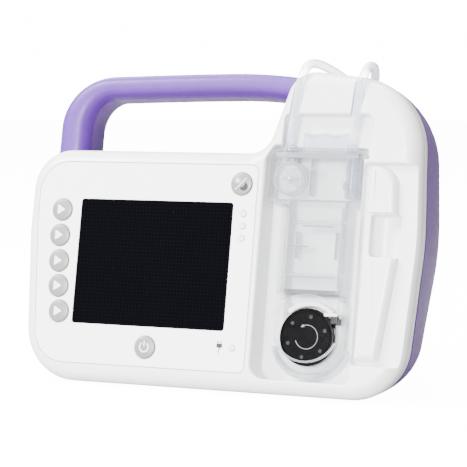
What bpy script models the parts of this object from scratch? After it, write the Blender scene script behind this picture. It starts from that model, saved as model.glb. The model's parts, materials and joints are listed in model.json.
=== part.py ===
"""Enteral feeding pump with a clear pumping cassette, in metres, +Z up, front facing -Y.

Sizes below are in millimetres, and MM turns them into metres where a mesh is made. Most pieces are
placed in the frame of the front face: u to the viewer's right, v up along the face, w out of it, with
its origin at the middle of the screen. The face leans back by TILT, and the underside is level.
"""

import math

import bmesh
import bpy
from mathutils import Euler, Matrix, Vector

MM = 0.001
GAP = 0.3  # between pieces that meet

# The casing
TILT = math.radians(11.2)
FOOT_STAND = 1.0  # how far the feet hold the underside off the table
UNDERSIDE = 59.1  # the middle of the screen above the underside
DEPTH = 76.0  # face to back, square to the face
SEAM = 14.0  # how deep the front half of the casing is
SEAM_GAP = 1.2
WALL = 2.4
FRONT_ROUND = 8.0
BACK_ROUND = 9.0
TAPER = 0.0063  # the right side draws in by this times the square of the depth behind the seam
TOP_SHARE = 0.3
LEFT_SHARE = 0.2
SIDE_SHARE = 0.58  # of it at the middle of the right side, which bulges
CORNER_SHARE = 0.75  # of it at the tower's corner
SCREEN_SIDE = -71.0  # left side
SCREEN_TOP = 55.8
TOWER_LEFT = 66.0
TOWER_TOP = 96.5
TOWER_FALL = 6.9  # the tower's top edge is this much lower at its right end
TOWER_RIGHT = 133.4

# Display and keys
WINDOW = (81.3, 61.0)
OVERLAY_THICK = 0.7
KEY_RADIUS = 5.4
KEY_FLANGE = 0.7
KEY_CLEAR = 0.3
SOFT_KEY_MIDDLE = -0.5  # height of the middle one of the five soft keys
SOFT_KEY_WEBS = (1.3, 1.3, 1.0, 1.1)  # wall between neighbouring key holes, from the top down
SOFT_KEY_GAPS = (5.25, 5.45, 4.75, 3.85, 2.45)  # each soft key's rim to the window, from the top down
POWER_KEY = (0.2, -40.6)
BACKLIGHT_KEY = (44.4, 39.8)
STATUS_U = 46.4
STATUS_V = (25.7, 19.7, 13.8)
MAINS_LIGHT = (46.0, -38.5)
LIGHT_RADIUS = 1.4

# Cassette bay
BAY_LEFT = 55.5
BAY_RIGHT = 105.0
BAY_BOTTOM = -52.0
BAY_TOP = 59.0
BAY_DEPTH = 14.0
BAY_WALL = 2.0
LEDGE_LEFT = 63.5
LEDGE_RIGHT = 109.0
LEDGE_TOP = 74.0
LEDGE_DEPTH = 7.0
SHOULDER = 4.0  # how far the surface right of the bay lies behind the face
SHOULDER_TOP = 51.0
TUBE_RADIUS = 2.15
GROOVE_RADIUS = 3.4

# Rotor and its drive
ROTOR = (81.7, -31.0)
ROTOR_RADIUS = 13.6
ROTOR_FRONT = -3.6
PLATE_THICK = 1.6
PIN_INSET = 4.0  # rotor rim to the circle of its pins
PIN_CIRCLE = ROTOR_RADIUS - PIN_INSET
HUB_INSET = 1.2  # rotor rim to the rim of the hub behind it
PIN_RADIUS = 0.9
ROLLER_RADIUS = 2.6
SHAFT_RADIUS = 2.5
BEARING_RADIUS = 5.5
PUMP_TUBE_RADIUS = 2.4
MOTOR_CLEAR = 13.2  # from the pump motor to the back wall
COLLAR_WALL = 2.4

# Valve
VALVE = (68.3, 43.2)
VALVE_RADIUS = 6.2
VALVE_STEM = 2.0

# Cassette
HEAD_LEFT = 56.8
HEAD_RIGHT = 104.2
HEAD_BOTTOM = 31.0
HEAD_TOP = 57.5
BODY_HALF = 16.9
BODY_BOTTOM = -12.0
COVER_FRONT = -1.4
COVER_WALL = 1.4
COVER_BACK = -13.2

# Handle
HANDLE_LEG_U = -59.6
HANDLE_TOP_V = 90.5
HANDLE_RISE = 1.7
HANDLE_BEND = 21.5
HANDLE_END_U = 76.0
HANDLE_FALL = 4.4  # from the middle of the top bar to its end in the tower
HANDLE_LEG_HALF = 9.0
HANDLE_TOP_HALF = 6.1
HANDLE_NEAR = 16.5
HANDLE_DEEP = 26.0
HANDLE_SPLIT = 24.0

# On the back
CLAMP_SIZE = (46.0, 38.0, 4.0)
CLAMP_PLACE = (46.0, 19.0)
DOOR_SIZE = (62.0, 38.0)
DOOR_PLACE = (-14.0, -14.0)
DOOR_THICK = 1.2
FOOT_RADIUS = 6.0
FOOT_DEEP = 2.4
SCREW_RADIUS = 1.5
SCREW_HEAD = 2.9


def soft_key_spots():
    """Middles of the soft keys, from the top down, spaced by their holes and the walls between them."""
    pitches = [2 * (KEY_RADIUS + KEY_CLEAR) + web for web in SOFT_KEY_WEBS]
    top = SOFT_KEY_MIDDLE + pitches[0] + pitches[1]
    heights = [top - sum(pitches[:i]) for i in range(5)]
    return [(-WINDOW[0] / 2 - gap - KEY_RADIUS, v) for gap, v in zip(SOFT_KEY_GAPS, heights)]


SOFT_KEYS = soft_key_spots()

COLOURS = {  # colour, roughness, metallic
    "white": ((0.86, 0.86, 0.86), 0.35, 0.0),
    "purple": ((0.27, 0.15, 0.47), 0.4, 0.0),
    "overlay": ((0.8, 0.8, 0.8), 0.45, 0.0),
    "grey_key": ((0.5, 0.5, 0.5), 0.4, 0.0),
    "black": ((0.015, 0.014, 0.018), 0.25, 0.0),
    "clear": ((0.85, 0.88, 0.92), 0.1, 0.0),
    "silicone": ((0.8, 0.84, 0.88), 0.35, 0.0),
    "rubber": ((0.05, 0.05, 0.055), 0.8, 0.0),
    "steel": ((0.6, 0.6, 0.62), 0.3, 1.0),
    "board": ((0.03, 0.2, 0.08), 0.5, 0.0),
    "cell": ((0.1, 0.16, 0.35), 0.5, 0.0),
    "accent": ((0.36, 0.2, 0.6), 0.4, 0.0),
}


# --- scene set-up -------------------------------------------------------------------------------


def clear_scene():
    for obj in list(bpy.data.objects):
        bpy.data.objects.remove(obj, do_unlink=True)


def collection(name, parent):
    made = bpy.data.collections.new(name)
    parent.children.link(made)
    return made


def material(name):
    colour, roughness, metallic = COLOURS[name]
    made = bpy.data.materials.get(name) or bpy.data.materials.new(name)
    made.use_nodes = True
    shader = made.node_tree.nodes["Principled BSDF"]
    shader.inputs["Base Color"].default_value = (*colour, 1.0)
    shader.inputs["Roughness"].default_value = roughness
    shader.inputs["Metallic"].default_value = metallic
    return made


clear_scene()
PARTS = collection("feeding_pump", bpy.context.scene.collection)
CUTTERS = collection("cutters", bpy.context.scene.collection)
FACE = bpy.data.objects.new("face_frame", None)
PARTS.objects.link(FACE)


def place(name, mesh, look, parent=FACE):
    """A named piece, or a hidden cutter where look is None."""
    obj = bpy.data.objects.new(name, mesh)
    obj.parent = parent
    if look is None:
        CUTTERS.objects.link(obj)
        obj.hide_render = True
        obj.display_type = "WIRE"
        return obj
    PARTS.objects.link(obj)
    obj.data.materials.append(material(look))
    obj.data.shade_smooth()
    obj.data.set_sharp_from_angle(angle=math.radians(35))
    return obj


def mesh_of(name, bm):
    bmesh.ops.recalc_face_normals(bm, faces=bm.faces)
    mesh = bpy.data.meshes.new(name)
    bm.to_mesh(mesh)
    bm.free()
    return mesh


# --- outlines -----------------------------------------------------------------------------------


def outline(corners, inset=0.0, steps=4):
    """Points along a counter-clockwise outline with rounded corners (u, v, radius), drawn in by inset."""
    flat = [Vector(corner[:2]) for corner in corners]
    count = len(flat)
    along = [(flat[(i + 1) % count] - flat[i]).normalized() for i in range(count)]
    points = []
    for i, corner in enumerate(corners):
        before, after = along[i - 1], along[i]
        turn = math.atan2(before.cross(after), before.dot(after))
        inward = Vector((-before.y, before.x)) + Vector((-after.y, after.x))
        vertex = flat[i] + inward * inset / (1.0 + before.dot(after))
        radius = corner[2] - inset if turn > 0 else corner[2] + inset
        if corner[2] == 0 or abs(turn) < 1e-4:
            points.append(vertex)
            continue
        radius = max(radius, 0.4)
        turns = steps if corner[2] > 5 else max(2, steps // 2)
        start = vertex - before * radius * math.tan(abs(turn) / 2)
        side = Vector((-before.y, before.x)) * math.copysign(1, turn)
        centre = start + side * radius
        for step in range(turns + 1):
            points.append(centre + Matrix.Rotation(turn * step / turns, 2) @ (start - centre))
    return points


def rectangle(width, height, radius, centre=(0.0, 0.0)):
    left, right = centre[0] - width / 2, centre[0] + width / 2
    low, high = centre[1] - height / 2, centre[1] + height / 2
    return [(left, low, radius), (right, low, radius), (right, high, radius), (left, high, radius)]


def base_v(depth):
    """Where the level underside lies on a plane at this depth behind the face."""
    return depth * math.tan(TILT) - UNDERSIDE / math.cos(TILT)


def casing(depth):
    """Corners of the casing's outline at a depth behind the face."""
    draw = TAPER * max(depth - SEAM, 0.0) ** 2
    left, top = LEFT_SHARE * draw, TOP_SHARE * draw
    base = base_v(depth)
    return [
        (SCREEN_SIDE + 4.5 + left, base, 28.0),
        (TOWER_RIGHT - 4.9 - draw, base, 25.0),
        (TOWER_RIGHT - SIDE_SHARE * draw, 16.0, 150.0),
        (TOWER_RIGHT - 3.6 - CORNER_SHARE * draw, TOWER_TOP - TOWER_FALL - top, 36.0),
        (TOWER_LEFT + left, TOWER_TOP - top, 14.0),
        (TOWER_LEFT - 12.5 + left, SCREEN_TOP - top, 12.0),
        (SCREEN_SIDE + left, SCREEN_TOP - top, 20.0),
        (SCREEN_SIDE - 0.6 + left, 15.0, 60.0),
    ]


OVERLAY = [(-60.5, -50.8, 17), (53.3, -50.6, 4), (53.0, 49.6, 4), (-65.5, 49.6, 16), (-65.2, 18, 60)]


# --- solids -------------------------------------------------------------------------------------


def loft(name, rings, look=None, parent=FACE):
    """A closed solid through rings of (u, v, w) points, equal in number, with both ends capped."""
    bm = bmesh.new()
    rows = [[bm.verts.new(Vector(point) * MM) for point in ring] for ring in rings]
    for low, high in zip(rows, rows[1:]):
        for i in range(len(low)):
            j = (i + 1) % len(low)
            bm.faces.new((low[i], low[j], high[j], high[i]))
    bm.faces.new(rows[0])
    bm.faces.new(rows[-1])
    return place(name, mesh_of(name, bm), look, parent)


def prism(name, points, low, high, look=None):
    """The outline's points extruded from w = low to w = high."""
    bm = bmesh.new()
    face = bm.faces.new([bm.verts.new(Vector((p[0], p[1], low)) * MM) for p in points])
    grown = bmesh.ops.extrude_face_region(bm, geom=[face])
    top = [item for item in grown["geom"] if isinstance(item, bmesh.types.BMVert)]
    bmesh.ops.translate(bm, verts=top, vec=(0, 0, (high - low) * MM))
    return place(name, mesh_of(name, bm), look)


def block(name, low, high, look=None, parent=FACE):
    bm = bmesh.new()
    low, high = Vector(low) * MM, Vector(high) * MM
    bmesh.ops.create_cube(bm, size=1.0)
    bmesh.ops.scale(bm, vec=high - low, verts=bm.verts)
    bmesh.ops.translate(bm, vec=(low + high) / 2, verts=bm.verts)
    return place(name, mesh_of(name, bm), look, parent)


def rods(name, centres, radius, low, high, look=None, sides=24):
    """Cylinders along w, one at each (u, v) centre, in one mesh with its origin on the first one's axis."""
    bm = bmesh.new()
    home = Vector((*centres[0], 0.0))
    for u, v in centres:
        at = Matrix.Translation((Vector((u, v, (low + high) / 2)) - home) * MM)
        bmesh.ops.create_cone(
            bm, cap_ends=True, segments=sides, radius1=radius * MM, radius2=radius * MM,
            depth=(high - low) * MM, matrix=at,
        )
    obj = place(name, mesh_of(name, bm), look)
    obj.location = home * MM
    return obj


def turned(name, profile, look, centre=(0.0, 0.0), sides=28, parent=FACE):
    """A profile of (radius, w) points, outer side running down, turned about w through centre."""
    mesh = bpy.data.meshes.new(name)
    points = [Vector((radius, 0.0, w)) * MM for radius, w in profile]
    mesh.from_pydata(points, [(i, i + 1) for i in range(len(points) - 1)], [])
    obj = place(name, mesh, look, parent)
    obj.location = Vector((*centre, 0.0)) * MM
    screw = obj.modifiers.new("turn", "SCREW")
    screw.steps = screw.render_steps = sides
    screw.use_merge_vertices = True
    screw.merge_threshold = 0.000001
    screw.use_smooth_shade = True
    return obj


MANIFOLD_ONLY = ("rear_housing", "front_housing")  # the EXACT solver loses these long chains of cuts


def combine(obj, other, operation="DIFFERENCE"):
    modifier = obj.modifiers.new(other.name, "BOOLEAN")
    modifier.operation = operation
    modifier.object = other
    modifier.solver = "MANIFOLD" if obj.name in MANIFOLD_ONLY else "EXACT"


def ring_at(depth, inset=0.0):
    return [(p.x, p.y, -depth) for p in outline(casing(depth), inset)]


def quarter(radius, steps=4):
    """(drawn in, along) pairs around a quarter circle, from the flat end to the side."""
    angles = [math.pi / 2 * i / steps for i in range(steps + 1)]
    return [(radius * (1 - math.sin(a)), radius * (1 - math.cos(a))) for a in angles]


# --- casing -------------------------------------------------------------------------------------


def casing_loft(name, near, far, front_round=0.0, back_round=0.0, inset=0.0, look=None):
    """The casing's shape between two depths, with a round at either end, drawn in all over by inset."""
    rings = [ring_at(near + step, inset + drawn) for drawn, step in quarter(front_round)]
    if not front_round:
        rings = [ring_at(near, inset)]
    first, last = near + front_round, far - back_round
    middle = [first + (last - first) * i / 4 for i in range(1, 4)] if last - first > 20 else []
    rings += [ring_at(depth, inset) for depth in middle]
    if back_round:
        rings += [ring_at(far - step, inset + drawn) for drawn, step in reversed(quarter(back_round))]
    else:
        rings.append(ring_at(far, inset))
    return loft(name, rings, look)


def pocket_corners():
    """The deep part of the cassette bay."""
    return [
        (BAY_LEFT, BAY_BOTTOM, 7.0), (BAY_RIGHT, BAY_BOTTOM, 3.0), (BAY_RIGHT, BAY_TOP, 2.0),
        (BAY_LEFT + 3.5, BAY_TOP, 2.0), (BAY_LEFT, BAY_TOP - 6.0, 4.0),
    ]


def ledge_corners():
    return [
        (LEDGE_LEFT, BAY_TOP - 6.0, 2.0), (LEDGE_RIGHT, BAY_TOP - 6.0, 2.0), (LEDGE_RIGHT, LEDGE_TOP - 3.0, 1.0),
        (LEDGE_RIGHT - 3.0, LEDGE_TOP, 1.0), (LEDGE_LEFT, LEDGE_TOP, 2.0),
    ]


def shoulder_corners():
    edge = BAY_RIGHT + 0.6
    return [(edge, -43.0, 2.0), (150.0, -43.0, 2.0), (150.0, SHOULDER_TOP, 2.0), (edge, SHOULDER_TOP, 2.0)]


def tube_groove(name, start, end):
    """A round-bottomed groove in the tower for one tube, between two (u, v, w) points on its axis."""
    first, last = Vector(start), Vector(end)
    way = last - first
    bm = bmesh.new()
    turn = way.to_track_quat("Z", "Y").to_matrix().to_4x4()
    at = Matrix.Translation((first + last) / 2 * MM) @ turn
    bmesh.ops.create_cone(
        bm, cap_ends=True, segments=20, radius1=GROOVE_RADIUS * MM, radius2=GROOVE_RADIUS * MM,
        depth=way.length * MM, matrix=at,
    )
    return place(name, mesh_of(name, bm), None)


def backing(name, low, high, deep):
    """Thickening behind the front wall between two (u, v) corners, so that a step cut there leaves a wall."""
    extra = casing_loft(name, 0.5, SEAM - 1.0, front_round=FRONT_ROUND - 0.5, inset=0.5)
    combine(extra, block(f"{name}_extent", (*low, -deep), (*high, 5.0)), "INTERSECT")
    return extra


def front_housing():
    body = casing_loft("front_housing", 0.0, SEAM, front_round=FRONT_ROUND, look="white")
    inner = FRONT_ROUND - WALL
    combine(body, casing_loft("front_hollow", WALL, SEAM + 4, front_round=inner, inset=WALL))
    tub = outline(pocket_corners(), -BAY_WALL)
    combine(body, prism("bay_tub", tub, -BAY_DEPTH - BAY_WALL, -2.0), "UNION")
    shelf = outline(ledge_corners(), -BAY_WALL)
    combine(body, prism("ledge_tub", shelf, -LEDGE_DEPTH - BAY_WALL, -3.2), "UNION")
    thick = backing("shoulder_backing", (BAY_RIGHT, -70.0), (150.0, SHOULDER_TOP + 2), SHOULDER + BAY_WALL)
    combine(body, thick, "UNION")
    combine(body, backing("groove_backing", (64.0, LEDGE_TOP), (110.0, 110.0), 9.0), "UNION")
    combine(body, prism("bay_pocket", outline(pocket_corners()), -BAY_DEPTH, 10.0))
    combine(body, prism("ledge_pocket", outline(ledge_corners()), -LEDGE_DEPTH, 10.0))
    combine(body, prism("shoulder_step", outline(shoulder_corners()), -SHOULDER, 10.0))
    combine(body, prism("overlay_recess", outline(OVERLAY, -GAP), -OVERLAY_THICK - GAP, 5.0))
    opening = outline(rectangle(WINDOW[0] + 2 * GAP, WINDOW[1] + 2 * GAP, 1.5))
    combine(body, prism("window_hole", opening, -WALL - 3, 5.0))
    keys = SOFT_KEYS + [POWER_KEY, BACKLIGHT_KEY]
    combine(body, rods("key_holes", keys, KEY_RADIUS + KEY_CLEAR, -WALL - 3, 5.0, sides=16))
    lights = [(STATUS_U, v) for v in STATUS_V] + [MAINS_LIGHT]
    combine(body, rods("light_holes", lights, LIGHT_RADIUS + KEY_CLEAR, -WALL - 3, 5.0, sides=10))
    combine(body, rods("bearing_hole", [ROTOR], BEARING_RADIUS + 0.05, -20.0, -10.0, sides=32))
    combine(body, rods("valve_stem_hole", [VALVE], VALVE_STEM + 0.4, -20.0, -10.0))
    combine(body, tube_groove("feed_groove", (65.3, 55.0, -3.9), (72.8, 102.0, -0.4)))
    combine(body, tube_groove("patient_groove", (96.4, 55.0, -3.9), (103.0, 102.0, -0.4)))
    return body


def bay_side_rail():
    """The raised bar right of the bay, with a finger notch between its two blocks."""
    left = BAY_RIGHT + 1.0
    upper, lower, floor = 50.6, -41.0, -SHOULDER + GAP
    corners = [(left, lower, 1.0), (119.5, lower, 1.5), (125.0, 6.0, 3.0), (122.5, upper, 9.0)]
    corners.append((left + 2.0, upper, 1.5))
    slope = ((0.0, floor), (0.3, -2.2), (2.0, -0.2))
    rings = [[(p.x, p.y, w) for p in outline(corners, drawn)] for drawn, w in slope]
    rail = loft("bay_side_rail", rings, "white")
    notch = outline([(left + 4.0, 7.0, 3.0), (140.0, 7.0, 1.0), (140.0, 28.0, 1.0), (left + 4.0, 28.0, 4.0)])
    combine(rail, prism("finger_notch", notch, -10.0, 5.0))
    return rail


def handle_section(near):
    """(across, depth) points of the front or rear part of the grip's rounded section, in half sizes."""
    power, count = 2.0 / 2.7, 10
    middle = HANDLE_NEAR + HANDLE_DEEP / 2
    split = HANDLE_SPLIT if near else HANDLE_SPLIT + GAP
    start = math.asin(((middle - split) / (HANDLE_DEEP / 2)) ** (1 / power))
    sweep = math.pi - 2 * start if near else -math.pi - 2 * start
    points = []
    for i in range(count + 1):
        angle = start + sweep * i / count
        across = math.copysign(abs(math.cos(angle)) ** power, math.cos(angle))
        deep = math.copysign(abs(math.sin(angle)) ** power, math.sin(angle))
        points.append((across, middle - deep * HANDLE_DEEP / 2))
    return points


def handle_path():
    """(point, normal, half width) along the grip's middle, from inside the left root to inside the tower."""
    rows = []
    for i in range(3):
        rows.append((Vector((HANDLE_LEG_U, 40.0 + i * 14.5)), 0.0))
    centre = Vector((HANDLE_LEG_U + HANDLE_BEND, 69.0))
    for i in range(1, 8):
        angle = math.pi / 2 * i / 7
        spot = centre + Vector((-math.cos(angle), math.sin(angle))) * HANDLE_BEND
        rows.append((spot, i / 7))
    start = centre.x
    for i in range(1, 8):
        share = i / 7
        u = start + (HANDLE_END_U - start) * share
        rise = HANDLE_RISE * math.sin(math.pi / 2 * min(share * 1.3, 1.0))
        late = max((share - 0.55) / 0.45, 0.0)
        rows.append((Vector((u, HANDLE_TOP_V + rise - HANDLE_FALL * late ** 2)), 1.0))
    found = []
    for i, (spot, share) in enumerate(rows):
        ahead = rows[min(i + 1, len(rows) - 1)][0] - rows[max(i - 1, 0)][0]
        normal = Vector((-ahead.y, ahead.x)).normalized()
        smooth = share * share * (3 - 2 * share)
        half = HANDLE_LEG_HALF + (HANDLE_TOP_HALF - HANDLE_LEG_HALF) * smooth
        found.append((spot, normal, half))
    return found


def handle_half(name, near, look=None):
    """The front or the rear part of the grip, which meet at HANDLE_SPLIT."""
    rings = []
    for spot, normal, half in handle_path():
        across = [(spot + normal * half * share, depth) for share, depth in handle_section(near)]
        rings.append([(point.x, point.y, -depth) for point, depth in across])
    return loft(name, rings, look)


def rear_housing():
    near = SEAM + SEAM_GAP
    body = casing_loft("rear_housing", near, DEPTH, back_round=BACK_ROUND, look="purple")
    combine(body, handle_half("handle_rear_body", False), "UNION")
    hollow = casing_loft("rear_hollow", near - 4, DEPTH - WALL, back_round=BACK_ROUND - WALL, inset=WALL)
    combine(body, hollow)
    door = outline(rectangle(DOOR_SIZE[0] + 2 * GAP, DOOR_SIZE[1] + 2 * GAP, 3.3, DOOR_PLACE))
    combine(body, prism("door_recess", door, -DEPTH - 3, -DEPTH + DOOR_THICK + GAP))
    return body


def handle_front_cover():
    cover = handle_half("handle_front_cover", True, "purple")
    combine(cover, casing_loft("handle_clearance", SEAM - 2, DEPTH, inset=-GAP))
    return cover


def housing_gasket():
    outer = [ring_at(SEAM + GAP, 0.7), ring_at(SEAM + SEAM_GAP - GAP, 0.7)]
    ring = loft("housing_gasket", outer, "rubber")
    inner = [ring_at(SEAM - 3, WALL - 0.1), ring_at(SEAM + 5, WALL - 0.1)]
    combine(ring, loft("gasket_hole", inner))
    return ring


# --- display, keys and lights -------------------------------------------------------------------


def faceplate_overlay():
    sheet = prism("faceplate_overlay", outline(OVERLAY), -OVERLAY_THICK, 0.0, "overlay")
    opening = outline(rectangle(WINDOW[0] + 2 * GAP, WINDOW[1] + 2 * GAP, 1.5))
    combine(sheet, prism("overlay_window_hole", opening, -3.0, 3.0))
    keys = SOFT_KEYS + [POWER_KEY, BACKLIGHT_KEY]
    combine(sheet, rods("overlay_key_holes", keys, KEY_RADIUS + KEY_CLEAR, -3.0, 3.0, sides=16))
    lights = [(STATUS_U, v) for v in STATUS_V] + [MAINS_LIGHT]
    combine(sheet, rods("overlay_light_holes", lights, LIGHT_RADIUS + KEY_CLEAR, -3.0, 3.0, sides=10))


def display():
    prism("display_window", outline(rectangle(*WINDOW, 1.2)), -WALL, -0.1, "black")
    block("lcd_module", (-41.6, -31.4, -WALL - GAP - 6.0), (41.6, 31.4, -WALL - GAP), "steel")
    block("main_board", (-54.0, -40.0, -12.6), (50.5, 46.0, -11.0), "board")
    strip = [(-58.5, -47.0, 16), (8.0, -47.0, 1), (8.0, -33.5, 1), (-43.4, -33.5, 1)]
    strip += [(-43.4, 32.0, 1), (-58.5, 32.0, 1)]
    prism("keypad_board", outline(strip, steps=2), -6.6, -5.0, "board")
    prism("indicator_board", outline(rectangle(8.4, 92.0, 1.0, (47.3, 1.0)), steps=2), -6.6, -5.0, "board")


def keys():
    """Domed keys, each with a flange that the front wall keeps in; the flange's back is above its switch."""
    back = -WALL - GAP - KEY_FLANGE
    dome = [(KEY_RADIUS * math.sin(a), 0.3 + 0.8 * math.cos(a)) for a in [math.pi / 2 * i / 3 for i in range(4)]]
    flange = KEY_RADIUS + 0.55
    profile = dome + [(KEY_RADIUS, back + KEY_FLANGE), (flange, back + KEY_FLANGE), (flange, back), (0.0, back)]
    spots = {f"soft_key_{i + 1}": spot for i, spot in enumerate(SOFT_KEYS)}
    spots.update(power_key=POWER_KEY, backlight_key=BACKLIGHT_KEY)
    for name, spot in spots.items():
        turned(name, profile, "grey_key", spot, sides=16)


def light_pipes():
    back, front = -WALL - GAP - 1.2, -WALL - GAP
    low, high = STATUS_V[-1] - 2.5, STATUS_V[0] + 2.5
    bar = block("status_light_lens", (STATUS_U - 2.5, low, back), (STATUS_U + 2.5, high, front), "clear")
    spots = [(STATUS_U, v) for v in STATUS_V]
    combine(bar, rods("status_domes", spots, LIGHT_RADIUS, front - 0.6, 0.4, sides=12), "UNION")
    reach = 2.5
    u, v = MAINS_LIGHT
    pad = block("mains_light_lens", (u - reach, v - reach, back), (u + reach, v + reach, front), "clear")
    combine(pad, rods("mains_dome", [MAINS_LIGHT], LIGHT_RADIUS, front - 0.6, 0.3, sides=12), "UNION")


# --- pump mechanism -----------------------------------------------------------------------------


def around(centre, radius, degrees):
    angle = math.radians(degrees)
    return (centre[0] + radius * math.cos(angle), centre[1] + radius * math.sin(angle))


def arc_band(name, centre, inner, outer, first, last, low, high, look, steps=14):
    angles = [first + (last - first) * i / steps for i in range(steps + 1)]
    points = [around(centre, outer, a) for a in angles] + [around(centre, inner, a) for a in reversed(angles)]
    return prism(name, points, low, high, look)


ROTOR_BACK = -BAY_DEPTH + GAP + 0.3
PLATE_BACK = ROTOR_FRONT - PLATE_THICK
ROLLER_PINS = [around(ROTOR, PIN_CIRCLE, 20 + 120 * i) for i in range(3)]
POST_PINS = [around(ROTOR, PIN_CIRCLE, 80 + 120 * i) for i in range(3)]


def rotor():
    disc = ROTOR_BACK + 1.4
    profile = [
        (0.0, PLATE_BACK - GAP), (4.6, PLATE_BACK - GAP), (4.6, disc), (ROTOR_RADIUS - HUB_INSET, disc),
        (ROTOR_RADIUS - HUB_INSET, ROTOR_BACK),
        (SHAFT_RADIUS + 0.8, ROTOR_BACK), (SHAFT_RADIUS, ROTOR_BACK - 0.3), (SHAFT_RADIUS, -20.6), (0.0, -20.6),
    ]
    hub = turned("rotor_hub", profile, "black", sides=24)
    hub.location = Vector((*ROTOR, 0.0)) * MM
    tip = ROTOR_FRONT + 0.25
    posts = rods("rotor_posts", POST_PINS, 1.7, disc - 0.5, PLATE_BACK - GAP, sides=12)
    pins = rods("rotor_pins", ROLLER_PINS + POST_PINS, PIN_RADIUS, disc - 0.5, tip, sides=10)
    combine(hub, posts, "UNION")
    combine(hub, pins, "UNION")
    plate = rods("rotor_front_plate", [ROTOR], ROTOR_RADIUS, PLATE_BACK, ROTOR_FRONT, "black", sides=40)
    combine(plate, rods("plate_holes", ROLLER_PINS + POST_PINS, PIN_RADIUS + 0.12, -10.0, 0.0, sides=10))
    low = disc + GAP
    high = PLATE_BACK - GAP
    for i, pin in enumerate(ROLLER_PINS):
        roller = rods(f"rotor_roller_{i + 1}", [pin], ROLLER_RADIUS, low, high, "steel", sides=16)
        combine(roller, rods(f"roller_bore_{i + 1}", [pin], PIN_RADIUS + 0.1, -20.0, 0.0, sides=10))
    near, far = -BAY_DEPTH - GAP, -BAY_DEPTH - BAY_WALL
    bearing = rods("rotor_bearing", [ROTOR], BEARING_RADIUS - 0.05, far, near, "steel", sides=32)
    combine(bearing, rods("bearing_bore", [ROTOR], SHAFT_RADIUS + 0.06, -30.0, 0.0, sides=24))


def drives():
    u, v = ROTOR
    front = -BAY_DEPTH - BAY_WALL - 2.4
    plate = outline(rectangle(46.0, 100.0, 3.0, (80.0, 2.0)), steps=3)
    bracket = prism("mechanism_bracket", plate, front, front + 1.6, "steel")
    combine(bracket, rods("bracket_shaft_hole", [ROTOR], SHAFT_RADIUS + 0.5, -30.0, 0.0))
    combine(bracket, rods("bracket_stem_hole", [VALVE], VALVE_STEM + 0.5, -30.0, 0.0))
    gearbox = block("pump_gearbox", (u - 13, v - 13, front - GAP - 14.0), (u + 13, v + 13, front - GAP), "steel")
    combine(gearbox, rods("gearbox_bore", [ROTOR], SHAFT_RADIUS + 0.3, front - 9.0, 0.0))
    rods("pump_motor", [ROTOR], 11.5, MOTOR_CLEAR + WALL - DEPTH, front - 14.0 - 2 * GAP, "steel", sides=28)
    motor = rods("valve_motor", [VALVE], 8.0, front - 24.0, front - GAP, "steel", sides=24)
    combine(motor, rods("valve_motor_bore", [VALVE], VALVE_STEM + 0.3, front - 6.0, 0.0))
    rods("valve_drive_stem", [VALVE], VALVE_STEM, front - 5.0, -BAY_DEPTH - 0.4, "steel", sides=16)


def raceway_collar():
    arc_band(
        "raceway_collar", ROTOR, ROTOR_RADIUS + 1.0, ROTOR_RADIUS + 1.0 + COLLAR_WALL, 47, 133,
        -BAY_DEPTH + GAP, ROTOR_FRONT - 2.6, "white",
    )


# --- cassette -----------------------------------------------------------------------------------


TUBE_OFFSET = PIN_CIRCLE + ROLLER_RADIUS + PUMP_TUBE_RADIUS + 0.2
TUBE_W = -9.0
PORT_V = BODY_BOTTOM - 2.0


def cassette_corners():
    left, right = ROTOR[0] - BODY_HALF, ROTOR[0] + BODY_HALF
    return [
        (left, BODY_BOTTOM, 1.5), (right, BODY_BOTTOM, 1.5), (right, HEAD_BOTTOM, 2.0),
        (HEAD_RIGHT, HEAD_BOTTOM, 2.5), (HEAD_RIGHT, HEAD_TOP, 3.0), (HEAD_LEFT, HEAD_TOP, 6.0),
        (HEAD_LEFT, HEAD_BOTTOM, 2.5), (left, HEAD_BOTTOM, 2.0),
    ]


FEED_EXIT = (66.1, HEAD_TOP + 2.6, -3.9)
PATIENT_EXIT = (97.2, HEAD_TOP + 2.6, -3.9)


def put_origin(obj, spot):
    """Moves a piece's origin to a (u, v, w) point, with its shape left where it is."""
    obj.data.transform(Matrix.Translation(Vector(spot) * -MM))
    obj.location = Vector(spot) * MM


def upright(name, foot, radius, length, look=None, sides=16):
    """A cylinder along v, standing on the (u, v, w) point."""
    bm = bmesh.new()
    middle = Vector(foot) + Vector((0, length / 2, 0))
    at = Matrix.Translation(middle * MM) @ Matrix.Rotation(math.pi / 2, 4, "X")
    bmesh.ops.create_cone(
        bm, cap_ends=True, segments=sides, radius1=radius * MM, radius2=radius * MM, depth=length * MM, matrix=at
    )
    return place(name, mesh_of(name, bm), look)


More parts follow.
